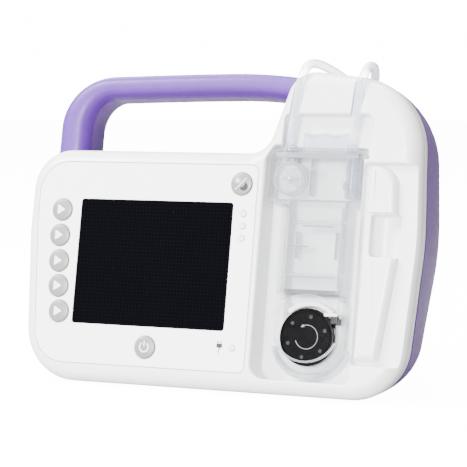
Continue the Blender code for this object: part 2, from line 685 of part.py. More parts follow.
def cassette_cover():
    corners = cassette_corners()
    cover = prism("cassette_cover", outline(corners, steps=4), COVER_BACK + 1.2, COVER_FRONT, "clear")
    inner = COVER_FRONT - COVER_WALL
    combine(cover, prism("cover_hollow", outline(corners, COVER_WALL, steps=4), -20.0, inner))
    centre = (ROTOR[0], ROTOR[1] + 5.0)
    sweep = [around(centre, 17.0, 205 + 130 * i / 16) for i in range(17)]
    apron = [(ROTOR[0] + 15.4, BODY_BOTTOM + 3)] + [(ROTOR[0] - 15.4, BODY_BOTTOM + 3)] + sweep
    combine(cover, prism("rotor_apron", apron, inner, COVER_FRONT), "UNION")
    combine(cover, rods("valve_boss", [VALVE], VALVE_RADIUS + 2.0, inner - 1.5, -0.4, sides=32), "UNION")
    combine(cover, rods("valve_bore", [VALVE], VALVE_RADIUS + GAP, -30.0, 5.0, sides=32))
    combine(cover, block("finger_tab", (73.0, HEAD_TOP - 1.0, -5.6), (95.0, HEAD_TOP + 8.0, -3.6)), "UNION")
    for name, spot in (("feed", FEED_EXIT), ("patient", PATIENT_EXIT)):
        foot = (spot[0], HEAD_TOP - 1.0, spot[2])
        combine(cover, upright(f"{name}_ferrule", foot, 2.3, spot[1] - GAP - foot[1]), "UNION")


def cassette_base():
    floor = COVER_BACK - 0.4
    base = prism("cassette_base", outline(cassette_corners(), 0.2, steps=4), floor, floor + 1.2, "clear")
    combine(base, rods("base_stem_hole", [VALVE], VALVE_STEM + 0.4, -30.0, 0.0))
    rib_top = -6.0
    inset = COVER_WALL + 0.8
    left, right = ROTOR[0] - BODY_HALF + inset, ROTOR[0] + BODY_HALF - inset
    ribs = [
        ("rib_left", (left, BODY_BOTTOM + inset, floor + 0.6), (left + 1.2, 34.0, rib_top)),
        ("rib_right", (right - 1.2, BODY_BOTTOM + inset, floor + 0.6), (right, 34.0, rib_top)),
        ("rib_low", (left + 0.4, -2.0, floor + 0.6), (right - 0.4, -0.8, rib_top - 1.0)),
        ("rib_high", (left + 0.4, 23.0, floor + 0.6), (right - 0.4, 24.2, rib_top - 1.0)),
    ]
    for name, low, high in ribs:
        combine(base, block(name, low, high), "UNION")
    for side in (-1, 1):
        u = ROTOR[0] + side * TUBE_OFFSET
        riser = block(f"riser_{side + 2}", (u - 1.4, PORT_V + 0.5, floor), (u + 1.4, BODY_BOTTOM - GAP, TUBE_W))
        low, high = (u - 1.2, PORT_V + 0.6, floor + 0.1), (u + 1.2, BODY_BOTTOM + 2, floor + 1.1)
        tie = block(f"riser_tie_{side + 2}", low, high)
        combine(base, tie, "UNION")
        combine(base, riser, "UNION")
        combine(base, upright(f"spigot_{side + 2}", (u, PORT_V, TUBE_W), 1.9, 1.4), "UNION")
    outlet = (PATIENT_EXIT[0], HEAD_BOTTOM + 4.0, -8.6)
    combine(base, upright("outlet_fitting", outlet, 3.6, 20.0), "UNION")
    combine(base, upright("outlet_collar", (outlet[0], outlet[1] + 4.0, outlet[2]), 4.6, 4.0), "UNION")


def tube_curve(name, points, radius, resolution=2):
    """A round tube along points in metres."""
    curve = bpy.data.curves.new(name, "CURVE")
    curve.dimensions = "3D"
    curve.bevel_depth = radius * MM
    curve.bevel_resolution = resolution
    curve.use_fill_caps = True
    spline = curve.splines.new("POLY")
    spline.points.add(len(points) - 1)
    for point, spot in zip(spline.points, points):
        point.co = (*spot, 1.0)
    return curve


def pump_tube():
    first = [(ROTOR[0] - TUBE_OFFSET, PORT_V - GAP, TUBE_W), (ROTOR[0] - TUBE_OFFSET, ROTOR[1] + 6.0, TUBE_W)]
    sweep = [(*around(ROTOR, TUBE_OFFSET, 180 + 180 * i / 12), TUBE_W) for i in range(13)]
    last = [(ROTOR[0] + TUBE_OFFSET, v, w) for _, v, w in reversed(first)]
    points = [Vector(spot) * MM for spot in first + sweep + last]
    curve = tube_curve("pump_tube", points, PUMP_TUBE_RADIUS, resolution=2)
    obj = bpy.data.objects.new("pump_tube", curve)
    obj.parent = FACE
    PARTS.objects.link(obj)
    curve.materials.append(material("silicone"))


def valve_plug():
    """The turning valve in the cassette's head, driven by the stem behind it."""
    top = -0.6
    profile = [
        (0.0, top), (VALVE_RADIUS - 0.4, top), (VALVE_RADIUS, top - 0.4), (VALVE_RADIUS, -3.4), (VALVE_STEM, -3.8),
        (VALVE_STEM, -BAY_DEPTH + 0.1), (0.0, -BAY_DEPTH + 0.1),
    ]
    turned("valve_plug", profile, "clear", VALVE, sides=28)


# --- inside and on the back ---------------------------------------------------------------------


def screw(name, centre, face, length):
    """A pan-head screw whose head stands on w = face and points back, its shank running forward."""
    profile = [
        (0.0, face + length), (SCREW_RADIUS, face + length), (SCREW_RADIUS, face + 0.05), (SCREW_HEAD, face + 0.05),
        (SCREW_HEAD, face - 1.2), (SCREW_HEAD - 0.6, face - 1.7), (0.0, face - 1.7),
    ]
    return turned(name, profile, "steel", centre, sides=12)


HOUSING_SCREWS = [(-50.0, -29.0), (-50.0, 36.0), (92.0, 70.0), (99.0, -20.0)]
SCREW_SINK = 2.0


def screw_bosses(body):
    """Screw posts inside the back, each with a sunk seat for its screw."""
    back = -DEPTH
    posts = rods("bosses", HOUSING_SCREWS, 4.6, back + 1.0, back + 22.0, sides=16)
    combine(body, posts, "UNION")
    combine(body, rods("boss_bores", HOUSING_SCREWS, SCREW_RADIUS + 0.2, back - 3, back + 19.0, sides=12))
    combine(body, rods("boss_seats", HOUSING_SCREWS, SCREW_HEAD + 0.4, back - 3, back + SCREW_SINK, sides=16))


def fixings():
    for i, spot in enumerate(HOUSING_SCREWS):
        screw(f"housing_screw_{i + 1}", spot, -DEPTH + SCREW_SINK - 0.3, 14.0)


def clamp_mount(body):
    """A flat plate for a pole clamp, held to the back by two screws."""
    wide, tall, thick = CLAMP_SIZE
    u, v = CLAMP_PLACE
    holes = [(u - 15.0, v), (u + 15.0, v)]
    front, back = -DEPTH - GAP, -DEPTH - GAP - thick
    plate = prism("pole_clamp_plate", outline(rectangle(wide, tall, 4.0, CLAMP_PLACE)), back, front, "purple")
    combine(plate, rods("plate_bores", holes, SCREW_RADIUS + 0.2, -DEPTH - 20, 0.0, sides=12))
    combine(plate, rods("plate_seats", holes, SCREW_HEAD + 0.4, -DEPTH - 20, back + 2.2, sides=16))
    combine(body, rods("clamp_bores", holes, SCREW_RADIUS + 0.2, -DEPTH - 3, -DEPTH + 12, sides=12))
    for i, spot in enumerate(holes):
        screw(f"clamp_screw_{i + 1}", spot, back + 2.2 - 0.3, 9.0)


def battery(body):
    wide, tall = DOOR_SIZE
    u, v = DOOR_PLACE
    mouth = outline(rectangle(wide - 8.0, tall - 8.0, 2.0, DOOR_PLACE))
    combine(body, prism("battery_mouth", mouth, -DEPTH - 3, -DEPTH + WALL + 1))
    rim = outline(rectangle(wide, tall, 3.0, DOOR_PLACE))
    door = prism("battery_door", rim, -DEPTH, -DEPTH + DOOR_THICK, "purple")
    hole = [(u, v + tall / 2 - 7.0)]
    combine(door, rods("door_bore", hole, SCREW_RADIUS + 0.2, -DEPTH - 3, 0.0, sides=16))
    screw("battery_door_screw", hole[0], -DEPTH - 0.3, 5.0)
    near = -DEPTH + WALL + 4.0
    block("battery_pack", (u - 26, v - 17, near), (u + 26, v + 8, near + 20), "cell")


INLET = (66.0, -24.0)
PORT = (38.0, -24.0)
PORT_SIZE = (15.0, 8.0)


def sockets(body):
    """The supply inlet and the covered service port, low on the back."""
    combine(body, rods("inlet_hole", [INLET], 5.8, -DEPTH - 3, -DEPTH + WALL + 1, sides=24))
    inlet = rods("power_inlet", [INLET], 5.5, -DEPTH - 0.6, -DEPTH + 8.0, "black", sides=24)
    combine(inlet, rods("inlet_bore", [INLET], 3.2, -DEPTH - 3, -DEPTH + 6.5, sides=20))
    combine(inlet, rods("inlet_pin", [INLET], 0.9, -DEPTH + 0.6, -DEPTH + 7.0, sides=10), "UNION")
    combine(body, prism("port_hole", outline(rectangle(*PORT_SIZE, 1.0, PORT)), -DEPTH - 3, -DEPTH + WALL + 1))
    u, v = PORT
    wide, tall = PORT_SIZE[0] + 5.0, PORT_SIZE[1] + 5.0
    cover = outline(rectangle(wide, tall, 2.0, PORT))
    flap = prism("service_port_cover", cover, -DEPTH - GAP - 1.6, -DEPTH - GAP, "rubber")
    plug = outline(rectangle(PORT_SIZE[0] - 1.0, PORT_SIZE[1] - 2.4, 1.0, (u, v)))
    combine(flap, prism("port_plug", plug, -DEPTH - 1.0, -DEPTH + 1.2), "UNION")
    put_origin(flap, (u, v - tall / 2, -DEPTH - GAP - 1.6))


SPEAKER = (-30.0, 27.0)


def speaker(body):
    u, v = SPEAKER
    for i in range(5):
        slot = outline(rectangle(18.0, 1.8, 0.8, (u, v - 8.0 + 4.0 * i)), steps=2)
        combine(body, prism(f"speaker_slot_{i + 1}", slot, -DEPTH - 3, -DEPTH + WALL + 1))
    near = -DEPTH + WALL + GAP
    rods("speaker", [SPEAKER], 12.0, near, near + 5.0, "steel", sides=28)


def world(u, v, w):
    return FACE_MATRIX @ (Vector((u, v, w)) * MM)


FEET = [(-40.0, 24.0), (98.0, 24.0), (-38.0, 58.0), (84.0, 58.0)]  # u, depth behind the face


def feet(body):
    for i, (u, depth) in enumerate(FEET):
        spot = world(u, base_v(depth), -depth)
        for name, radius, low, high, look in (
            (f"foot_recess_{i + 1}", FOOT_RADIUS + GAP, -5.0, FOOT_DEEP, None),
            (f"rubber_foot_{i + 1}", FOOT_RADIUS, 0.0, FOOT_DEEP - GAP, "rubber"),
        ):
            bm = bmesh.new()
            at = Matrix.Translation((spot.x, spot.y, (low + high) / 2 * MM))
            bmesh.ops.create_cone(
                bm, cap_ends=True, segments=24, radius1=radius * MM, radius2=radius * MM,
                depth=(high - low) * MM, matrix=at,
            )
            made = place(name, mesh_of(name, bm), look, parent=None)
            if look is None:
                combine(body, made)


# --- the two lines from the cassette ------------------------------------------------------------

# Each line rises from its ferrule, bends over the top of the tower, hangs down behind the back and
# runs along the table to its coil. Points are in metres, from the middle of the object's base.
FEED_ROUTE = [
    (0.0353, -0.0242, 0.1186), (0.0360, -0.0238, 0.1242), (0.0383, -0.0231, 0.1383), (0.0399, -0.0224, 0.1480),
    (0.0411, -0.0176, 0.1548), (0.0424, -0.0088, 0.1563), (0.0447, 0.0047, 0.1534), (0.0470, 0.0199, 0.1484),
    (0.0482, 0.0342, 0.1432), (0.0480, 0.0462, 0.1366), (0.0471, 0.0527, 0.1250), (0.0464, 0.0544, 0.1050),
    (0.0461, 0.0545, 0.0800), (0.0459, 0.0544, 0.0500), (0.0456, 0.0540, 0.0240), (0.0436, 0.0532, 0.0100),
    (0.0356, 0.0522, 0.0034), (0.0220, 0.0506, 0.00215), (0.0020, 0.0489, 0.00215), (-0.0180, 0.0482, 0.00215),
    (-0.0340, 0.0484, 0.00215), (-0.0460, 0.0500, 0.00215), (-0.0555, 0.0537, 0.00215), (-0.0615, 0.0563, 0.00215),
]
PATIENT_ROUTE = [
    (0.0664, -0.0242, 0.1186), (0.0675, -0.0237, 0.1260), (0.0693, -0.0229, 0.1390), (0.0707, -0.0220, 0.1484),
    (0.0715, -0.0163, 0.1544), (0.0708, -0.0068, 0.1546), (0.0668, 0.0064, 0.1512), (0.0608, 0.0217, 0.1464),
    (0.0562, 0.0367, 0.1424), (0.0538, 0.0487, 0.1352), (0.0528, 0.0554, 0.1230), (0.0525, 0.0577, 0.1050),
    (0.0523, 0.0580, 0.0800), (0.0521, 0.0580, 0.0500), (0.0519, 0.0580, 0.0240), (0.0499, 0.0582, 0.0100),
    (0.0425, 0.0587, 0.0034), (0.0310, 0.0595, 0.00215), (0.0200, 0.0602, 0.00215), (0.0095, 0.0609, 0.00215),
]
TUBE_STEP = 8.0  # along a line, between the points of its curve
COIL_MEAN = 24.5  # radius at the middle of the turns, 11 tube diameters across
FEED_COIL = (-72.5, 88.4, 3, 2)  # x, y of its centre, turns side by side and layers
PATIENT_COIL = (-6.0, 95.7, 5, 2)
SPIKE = (-74.0, 125.2, 4.0, 1)  # x, y, z of the end that takes the tube, and its way along X
CONNECTOR = (-12.0, 56.0, 4.5, -1)


def smooth(points, step):
    """Points a step apart along a smooth curve through the given ones."""
    ends = [2 * points[0] - points[1], *points, 2 * points[-1] - points[-2]]
    found = []
    for a, b, c, d in zip(ends, ends[1:], ends[2:], ends[3:]):
        count = max(1, round((c - b).length / step))
        for i in range(count):
            t = i / count
            bend = (2 * a - 5 * b + 4 * c - d) * t**2 + (3 * b - a - 3 * c + d) * t**3
            found.append(0.5 * (2 * b + (c - a) * t + bend))
    return found + [points[-1]]


def line(name, route):
    points = smooth([Vector(point) for point in route], TUBE_STEP * MM)
    curve = tube_curve(name, points, TUBE_RADIUS, resolution=2)
    obj = bpy.data.objects.new(name, curve)
    PARTS.objects.link(obj)
    curve.materials.append(material("clear"))


def coil(name, place_and_turns):
    """The outer shape of a neat round coil lying on the table."""
    x, y, across, layers = place_and_turns
    half, high = across * TUBE_RADIUS, layers * 2 * TUBE_RADIUS
    inner, outer = COIL_MEAN - half, COIL_MEAN + half
    profile = [(inner + 0.6, high), (outer - 0.6, high), (outer, high - 0.6), (outer, 0.6), (outer - 0.6, 0.0)]
    profile += [(inner + 0.6, 0.0), (inner, 0.6), (inner, high - 0.6), (inner + 0.6, high)]
    ring = turned(name, profile, "clear", sides=40, parent=None)
    ring.location = Vector((x, y, 0.0)) * MM


def lying(name, start, profile, look, sides=20):
    """A turned piece lying along +X or -X from its start, with a profile of (radius, distance) points."""
    x, y, z, way = start
    obj = turned(name, [(radius, -along) for radius, along in profile], look, sides=sides, parent=None)
    obj.location = Vector((x, y, z)) * MM
    obj.rotation_euler = (0.0, -way * math.pi / 2, 0.0)
    return obj


def line_ends():
    """A bag spike with finger wings on the feed line, and a feeding connector on the patient line."""
    body = [(0.0, 0.0), (3.4, 0.0), (4.0, 1.0), (4.0, 16.0), (2.9, 17.0), (2.9, 30.0), (0.6, 40.0), (0.0, 40.0)]
    spike = lying("feed_spike", SPIKE, body, "accent")
    wings = block("spike_wings", (12.0, -7.0, -1.3), (15.0, 7.0, 1.3), parent=None)
    wings.location = spike.location
    combine(spike, wings, "UNION")
    cup = [(0.0, 0.0), (3.2, 0.0), (3.6, 0.6), (3.6, 8.0), (4.5, 9.0), (4.5, 21.0), (3.9, 22.0), (3.2, 22.0)]
    cup += [(3.2, 15.0), (0.0, 15.0)]
    lying("patient_connector", CONNECTOR, cup, "accent")


# --- the whole ----------------------------------------------------------------------------------


def face_matrix():
    """Stands the face frame so that the casing and the pieces on its back are centred over the origin."""
    turn = Euler((math.pi / 2 - TILT, 0.0, 0.0)).to_matrix().to_4x4()
    rim = [Vector(point) for depth in (SEAM, FRONT_ROUND) for point in ring_at(depth)]
    rim += [Vector(ring) for drawn, step in quarter(FRONT_ROUND) for ring in ring_at(step, drawn)]
    across = [point.x for point in rim]
    near = min((turn @ point).y for point in rim)
    wide, tall, thick = CLAMP_SIZE
    corner = Vector((0.0, CLAMP_PLACE[1] + tall / 2, -DEPTH - GAP - thick))
    back = [Vector(point) for drawn, step in quarter(BACK_ROUND) for point in ring_at(DEPTH - step, drawn)]
    far = max((turn @ point).y for point in [corner, *back])
    home = Vector((-(min(across) + max(across)) / 2, -(near + far) / 2, UNDERSIDE + FOOT_STAND))
    return Matrix.Translation(home * MM) @ turn


FACE_MATRIX = face_matrix()
FACE.matrix_world = FACE_MATRIX

front_housing()
back_half = rear_housing()
screw_bosses(back_half)
clamp_mount(back_half)
battery(back_half)
sockets(back_half)
speaker(back_half)
feet(back_half)
fixings()
housing_gasket()
handle_front_cover()
bay_side_rail()
faceplate_overlay()
display()
keys()
light_pipes()
rotor()
drives()
raceway_collar()
cassette_cover()
cassette_base()
valve_plug()
pump_tube()
line("feed_tube", FEED_ROUTE)
line("patient_tube", PATIENT_ROUTE)
coil("feed_coil", FEED_COIL)
coil("patient_coil", PATIENT_COIL)
line_ends()
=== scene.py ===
"""Looks of the feeding pump: fine shells, keys, clear cassette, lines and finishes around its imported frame.

Sizes are in millimetres and MM turns them into metres. Most pieces are drawn in the frame of the front
face: u to the viewer's right, v up along the face, w out of it, from the middle of the screen.
"""

import json
import math

import bmesh
import bpy
from mathutils import Euler, Matrix, Vector


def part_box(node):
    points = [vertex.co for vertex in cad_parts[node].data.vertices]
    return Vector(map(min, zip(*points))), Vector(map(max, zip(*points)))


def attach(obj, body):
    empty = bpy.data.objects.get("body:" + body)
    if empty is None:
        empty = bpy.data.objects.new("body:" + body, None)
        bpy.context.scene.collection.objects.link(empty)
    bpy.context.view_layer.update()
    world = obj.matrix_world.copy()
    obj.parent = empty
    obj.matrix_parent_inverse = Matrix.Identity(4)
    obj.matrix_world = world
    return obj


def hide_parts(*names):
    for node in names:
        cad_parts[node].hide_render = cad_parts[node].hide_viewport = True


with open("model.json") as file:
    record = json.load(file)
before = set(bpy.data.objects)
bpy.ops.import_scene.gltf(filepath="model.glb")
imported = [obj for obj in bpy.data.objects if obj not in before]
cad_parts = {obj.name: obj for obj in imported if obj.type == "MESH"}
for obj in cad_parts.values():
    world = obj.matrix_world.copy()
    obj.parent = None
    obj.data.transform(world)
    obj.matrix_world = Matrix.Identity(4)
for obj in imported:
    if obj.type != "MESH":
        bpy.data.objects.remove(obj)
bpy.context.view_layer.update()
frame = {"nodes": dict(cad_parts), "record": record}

MM = 0.001
TILT = math.radians(11.2)
GAP = 0.3
GLASS_MIDDLE = 1.25  # how far the display window's middle lies behind the face
CASING = "casing"


def face_frame():
    """The face's frame in the world, from the display window, which lies a little behind the face."""
    low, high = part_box("display_window")
    turn = Euler((math.pi / 2 - TILT, 0.0, 0.0)).to_matrix().to_4x4()
    out = (turn @ Vector((0.0, 0.0, 1.0, 0.0))).to_3d()
    return Matrix.Translation((low + high) / 2 + out * GLASS_MIDDLE * MM) @ turn


FACE = face_frame()

# The casing
UNDERSIDE = 59.1
DEPTH = 76.0
SEAM = 14.0
SEAM_GAP = 1.2
WALL = 2.4
FRONT_ROUND = 8.0
BACK_ROUND = 9.0
TAPER = 0.0063
TOP_SHARE = 0.3
LEFT_SHARE = 0.2
SIDE_SHARE = 0.58
CORNER_SHARE = 0.75
SCREEN_SIDE = -71.0
SCREEN_TOP = 55.8
TOWER_LEFT = 66.0
TOWER_TOP = 96.5
TOWER_FALL = 6.9
TOWER_RIGHT = 133.4

# The front
WINDOW = (81.3, 61.0)
OVERLAY = [(-60.5, -50.8, 17), (53.3, -50.6, 4), (53.0, 49.6, 4), (-65.5, 49.6, 16), (-65.2, 18, 60)]
OVERLAY_THICK = 0.7
KEY_RADIUS = 5.4
KEY_CLEAR = 0.3
# from the top down
SOFT_KEYS = [(-51.3, 24.9), (-51.5, 12.2), (-50.8, -0.5), (-49.9, -12.9), (-48.5, -25.4)]
POWER_KEY = (0.2, -40.6)
BACKLIGHT_KEY = (44.4, 39.8)
STATUS = [(46.4, 25.7), (46.4, 19.7), (46.4, 13.8)]
MAINS_LIGHT = (46.0, -38.5)
LIGHT_RADIUS = 1.4
ALL_KEYS = SOFT_KEYS + [POWER_KEY, BACKLIGHT_KEY]
ALL_LIGHTS = STATUS + [MAINS_LIGHT]

# The bay and what is in it
BAY_LEFT, BAY_RIGHT, BAY_BOTTOM, BAY_TOP, BAY_DEPTH = 55.5, 105.0, -52.0, 59.0, 14.0
LEDGE_LEFT, LEDGE_RIGHT, LEDGE_TOP, LEDGE_DEPTH = 63.5, 109.0, 74.0, 7.0
SHOULDER, SHOULDER_TOP = 4.0, 51.0
BAY_WALL = 2.0
ROTOR = (81.7, -31.0)
ROTOR_RADIUS = 13.6
ROTOR_FRONT = -3.6
PIN_CIRCLE = 9.6
PIN_CAP = 0.5
VALVE = (68.3, 43.2)
VALVE_RADIUS = 6.2
HEAD_LEFT, HEAD_RIGHT, HEAD_BOTTOM, HEAD_TOP = 56.8, 104.2, 31.0, 57.5
BODY_HALF = 16.9
BODY_BOTTOM = -12.0
COVER_FRONT = -1.4
COVER_WALL = 1.4
COVER_BACK = -13.2
TUBE_OFFSET = 14.8
PUMP_TUBE_RADIUS = 2.4
TUBE_W = -9.0
FEED_EXIT = (66.1, HEAD_TOP + 2.6, -3.9)
PATIENT_EXIT = (97.2, HEAD_TOP + 2.6, -3.9)
GROOVE_RADIUS = 3.4

# The handle
HANDLE_LEG_U, HANDLE_TOP_V, HANDLE_RISE, HANDLE_BEND = -59.6, 90.5, 1.7, 21.5
HANDLE_END_U, HANDLE_FALL = 76.0, 4.4
HANDLE_LEG_HALF, HANDLE_TOP_HALF = 9.0, 6.1
HANDLE_NEAR, HANDLE_DEEP, HANDLE_SPLIT = 16.5, 26.0, 24.0

# The back
CLAMP_SIZE, CLAMP_PLACE = (46.0, 38.0, 4.0), (46.0, 19.0)
DOOR_SIZE, DOOR_PLACE, DOOR_THICK = (62.0, 38.0), (-14.0, -14.0), 1.2
INLET, PORT, PORT_SIZE, SPEAKER = (66.0, -24.0), (38.0, -24.0), (15.0, 8.0), (-30.0, 27.0)
FEET = [(-40.0, 24.0), (98.0, 24.0), (-38.0, 58.0), (84.0, 58.0)]
FOOT_RADIUS, FOOT_DEEP = 6.0, 2.4
HOUSING_SCREWS = [(-50.0, -29.0), (-50.0, 36.0), (92.0, 70.0), (99.0, -20.0)]
SCREW_RADIUS, SCREW_HEAD, SCREW_SINK = 1.5, 2.9, 2.0


# --- camera -------------------------------------------------------------------------------------


EYE = (414.5, -835.5, 89.2)  # from the middle of the screen
VIEW_RIGHT = (0.9139, 0.4059, 0.0)
VIEW_BACK = (0.4046, -0.9110, 0.0799)
SENSOR_WIDTH, LENS = 36.0, 149.2


def camera():
    """A long lens, from the right of the pump's front and slightly above."""
    eye = FACE @ Vector((0.0, 0.0, 0.0)) + Vector(EYE) * MM
    right = Vector(VIEW_RIGHT).normalized()
    back = Vector(VIEW_BACK).normalized()
    up = back.cross(right).normalized()
    data = bpy.data.cameras.new("view")
    data.sensor_width = SENSOR_WIDTH
    data.lens = LENS
    obj = bpy.data.objects.new("view", data)
    obj.matrix_world = Matrix.Translation(eye) @ Matrix((right, up, back)).transposed().to_4x4()
    bpy.context.scene.collection.objects.link(obj)
    bpy.context.scene.camera = obj


camera()


# --- finishes -----------------------------------------------------------------------------------


def nodes_of(name):
    made = bpy.data.materials.new(name)
    made.use_nodes = True
    tree = made.node_tree
    return made, tree, tree.nodes["Principled BSDF"]


def noise(tree, size, detail=2.0, roughness=0.5):
    """Noise whose features are this many millimetres across."""
    where = tree.nodes.new("ShaderNodeTexCoord")
    made = tree.nodes.new("ShaderNodeTexNoise")
    made.inputs["Scale"].default_value = 1.0 / (size * MM)
    made.inputs["Detail"].default_value = detail
    made.inputs["Roughness"].default_value = roughness
    tree.links.new(where.outputs["Object"], made.inputs["Vector"])
    return made.outputs["Fac"]


def between(tree, value, low, high, start=0.3, end=0.7):
    ranged = tree.nodes.new("ShaderNodeMapRange")
    for socket, number in zip(("From Min", "From Max", "To Min", "To Max"), (start, end, low, high)):
        ranged.inputs[socket].default_value = number
    tree.links.new(value, ranged.inputs["Value"])
    return ranged.outputs["Result"]


def blend_colours(tree, share, first, second):
    mix = tree.nodes.new("ShaderNodeMix")
    mix.data_type = "RGBA"
    mix.inputs["A"].default_value = (*first, 1.0)
    mix.inputs["B"].default_value = (*second, 1.0)
    tree.links.new(share, mix.inputs["Factor"])
    return mix.outputs["Result"]


def bump(tree, shader, height, strength, distance):
    made = tree.nodes.new("ShaderNodeBump")
    made.inputs["Strength"].default_value = strength
    made.inputs["Distance"].default_value = distance * MM
    tree.links.new(height, made.inputs["Height"])
    tree.links.new(made.outputs["Normal"], shader.inputs["Normal"])


def moulded(name, colour, rough, grain=0.5, depth=0.02, mottle=0.03, patch=14.0, metallic=0.0, **sockets):
    """A moulded surface: faint mottling in large patches, uneven gloss, and a fine grain in its relief."""
    made, tree, shader = nodes_of(name)
    darker = tuple(c * (1 - mottle) for c in colour)
    lighter = tuple(min(c * (1 + mottle), 1.0) for c in colour)
    patches = noise(tree, patch, 3.0)
    tree.links.new(blend_colours(tree, between(tree, patches, 0.0, 1.0), darker, lighter),
                   shader.inputs["Base Color"])
    gloss = noise(tree, patch / 4, 4.0)
    tree.links.new(between(tree, gloss, rough * 0.88, rough * 1.12), shader.inputs["Roughness"])
    bump(tree, shader, noise(tree, grain, 2.0), 0.6, depth)
    shader.inputs["Metallic"].default_value = metallic
    for socket, value in sockets.items():
        shader.inputs[socket.replace("_", " ")].default_value = value
    return made


def clear(name, colour, rough, face_on, edge_on, ripple=6.0, depth=0.02, **sockets):
    """A clear moulding, more solid to the eye where it is seen edge on."""
    made, tree, shader = nodes_of(name)
    paler = tuple(min(c * 1.06, 1.0) for c in colour)
    share = between(tree, noise(tree, ripple, 2.0), 0.0, 1.0)
    tree.links.new(blend_colours(tree, share, colour, paler), shader.inputs["Base Color"])
    tree.links.new(between(tree, noise(tree, ripple / 2), rough * 0.7, rough * 1.3),
                   shader.inputs["Roughness"])
    weight = tree.nodes.new("ShaderNodeLayerWeight")
    weight.inputs["Blend"].default_value = 0.42
    tree.links.new(
        between(tree, weight.outputs["Facing"], face_on, edge_on, 0.12, 0.9), shader.inputs["Alpha"]
    )
    bump(tree, shader, noise(tree, ripple, 1.0), 0.4, depth)
    for socket, value in sockets.items():
        shader.inputs[socket.replace("_", " ")].default_value = value
    return made


def screen_glass():
    """Black glass over a panel with a faint even dot grid."""
    made, tree, shader = nodes_of("screen_glass")
    where = tree.nodes.new("ShaderNodeTexCoord")
    turn = tree.nodes.new("ShaderNodeMapping")
    turn.inputs["Rotation"].default_value = (TILT - math.pi / 2, 0.0, 0.0)
    turn.inputs["Scale"].default_value = (560.0, 560.0, 560.0)
    dots = tree.nodes.new("ShaderNodeTexVoronoi")
    dots.inputs["Randomness"].default_value = 0.0
    dots.voronoi_dimensions = "2D"
    dots.inputs["Scale"].default_value = 1.0
    tree.links.new(where.outputs["Object"], turn.inputs["Vector"])
    tree.links.new(turn.outputs["Vector"], dots.inputs["Vector"])
    share = between(tree, dots.outputs["Distance"], 1.0, 0.0, 0.08, 0.24)
    tree.links.new(blend_colours(tree, share, (0.0011, 0.0010, 0.0018), (0.0027, 0.0027, 0.0040)),
                   shader.inputs["Base Color"])
    tree.links.new(between(tree, noise(tree, 20.0), 0.10, 0.14), shader.inputs["Roughness"])
    shader.inputs["Specular IOR Level"].default_value = 0.05
    return made


def circuit_board():
    """Green mask with paler copper tracks under it."""
    made, tree, shader = nodes_of("board_mask")
    where = tree.nodes.new("ShaderNodeTexCoord")
    tracks = tree.nodes.new("ShaderNodeTexBrick")
    tracks.inputs["Scale"].default_value = 260.0
    tracks.inputs["Color1"].default_value = (0.02, 0.14, 0.06, 1.0)
    tracks.inputs["Color2"].default_value = (0.03, 0.18, 0.08, 1.0)
    tracks.inputs["Mortar"].default_value = (0.10, 0.32, 0.12, 1.0)
    tree.links.new(where.outputs["Object"], tracks.inputs["Vector"])
    tree.links.new(tracks.outputs["Color"], shader.inputs["Base Color"])
    tree.links.new(between(tree, noise(tree, 3.0), 0.3, 0.5), shader.inputs["Roughness"])
    return made


def metal(name, colour, rough, lay=(40.0, 900.0, 900.0)):
    """Metal with fine lines drawn one way."""
    made, tree, shader = nodes_of(name)
    where = tree.nodes.new("ShaderNodeTexCoord")
    stretch = tree.nodes.new("ShaderNodeMapping")
    stretch.inputs["Scale"].default_value = lay
    lines = tree.nodes.new("ShaderNodeTexNoise")
    lines.inputs["Scale"].default_value = 1.0
    lines.inputs["Detail"].default_value = 4.0
    tree.links.new(where.outputs["Object"], stretch.inputs["Vector"])
    tree.links.new(stretch.outputs["Vector"], lines.inputs["Vector"])
    share = between(tree, lines.outputs["Fac"], 0.0, 1.0)
    darker = tuple(c * 0.85 for c in colour)
    tree.links.new(blend_colours(tree, share, darker, colour), shader.inputs["Base Color"])
    tree.links.new(between(tree, lines.outputs["Fac"], rough * 0.8, rough * 1.25),
                   shader.inputs["Roughness"])
    bump(tree, shader, lines.outputs["Fac"], 0.3, 0.01)
    shader.inputs["Metallic"].default_value = 1.0
    return made


WHITE = moulded("white_abs", (0.80, 0.80, 0.805), 0.34, grain=0.35, depth=0.012, mottle=0.008,
                Coat_Weight=0.15,
                Coat_Roughness=0.2, Subsurface_Weight=0.06, Subsurface_Scale=0.002)
PURPLE = moulded("purple_abs", (0.150, 0.078, 0.265), 0.46, grain=0.3, depth=0.022, mottle=0.03,
                 Specular_IOR_Level=0.2)
LAVENDER = moulded("lavender_grip", (0.080, 0.022, 0.215), 0.44, grain=0.28, depth=0.022, mottle=0.03,
                   Specular_IOR_Level=0.3)
OVERLAY_FILM = moulded("overlay_film", (0.93, 0.935, 0.94), 0.42, grain=0.22, depth=0.008, mottle=0.006)
FILM_EDGE = moulded("film_edge", (0.20, 0.205, 0.22), 0.45, grain=0.3, depth=0.005, mottle=0.02)
GLASS = screen_glass()
PIN_GREY = moulded("pin_grey", (0.16, 0.16, 0.17), 0.35, grain=0.3, depth=0.004, mottle=0.04)
KEY_RUBBER = moulded("key_rubber", (0.185, 0.185, 0.188), 0.38, grain=0.25, depth=0.010, mottle=0.02,
                     Subsurface_Weight=0.05, Subsurface_Scale=0.001)
KEY_PRINT = moulded("key_print", (0.86, 0.86, 0.86), 0.4, grain=0.3, depth=0.004, mottle=0.01)
KEY_DARK = moulded("key_dark_print", (0.003, 0.003, 0.004), 0.6, grain=0.3, depth=0.004, mottle=0.05)
ICON_INK = moulded("icon_ink", (0.006, 0.006, 0.008), 0.5, grain=0.3, depth=0.003, mottle=0.05)
LIGHT_LENS = clear("light_lens", (0.90, 0.92, 0.93), 0.15, 0.75, 0.98)
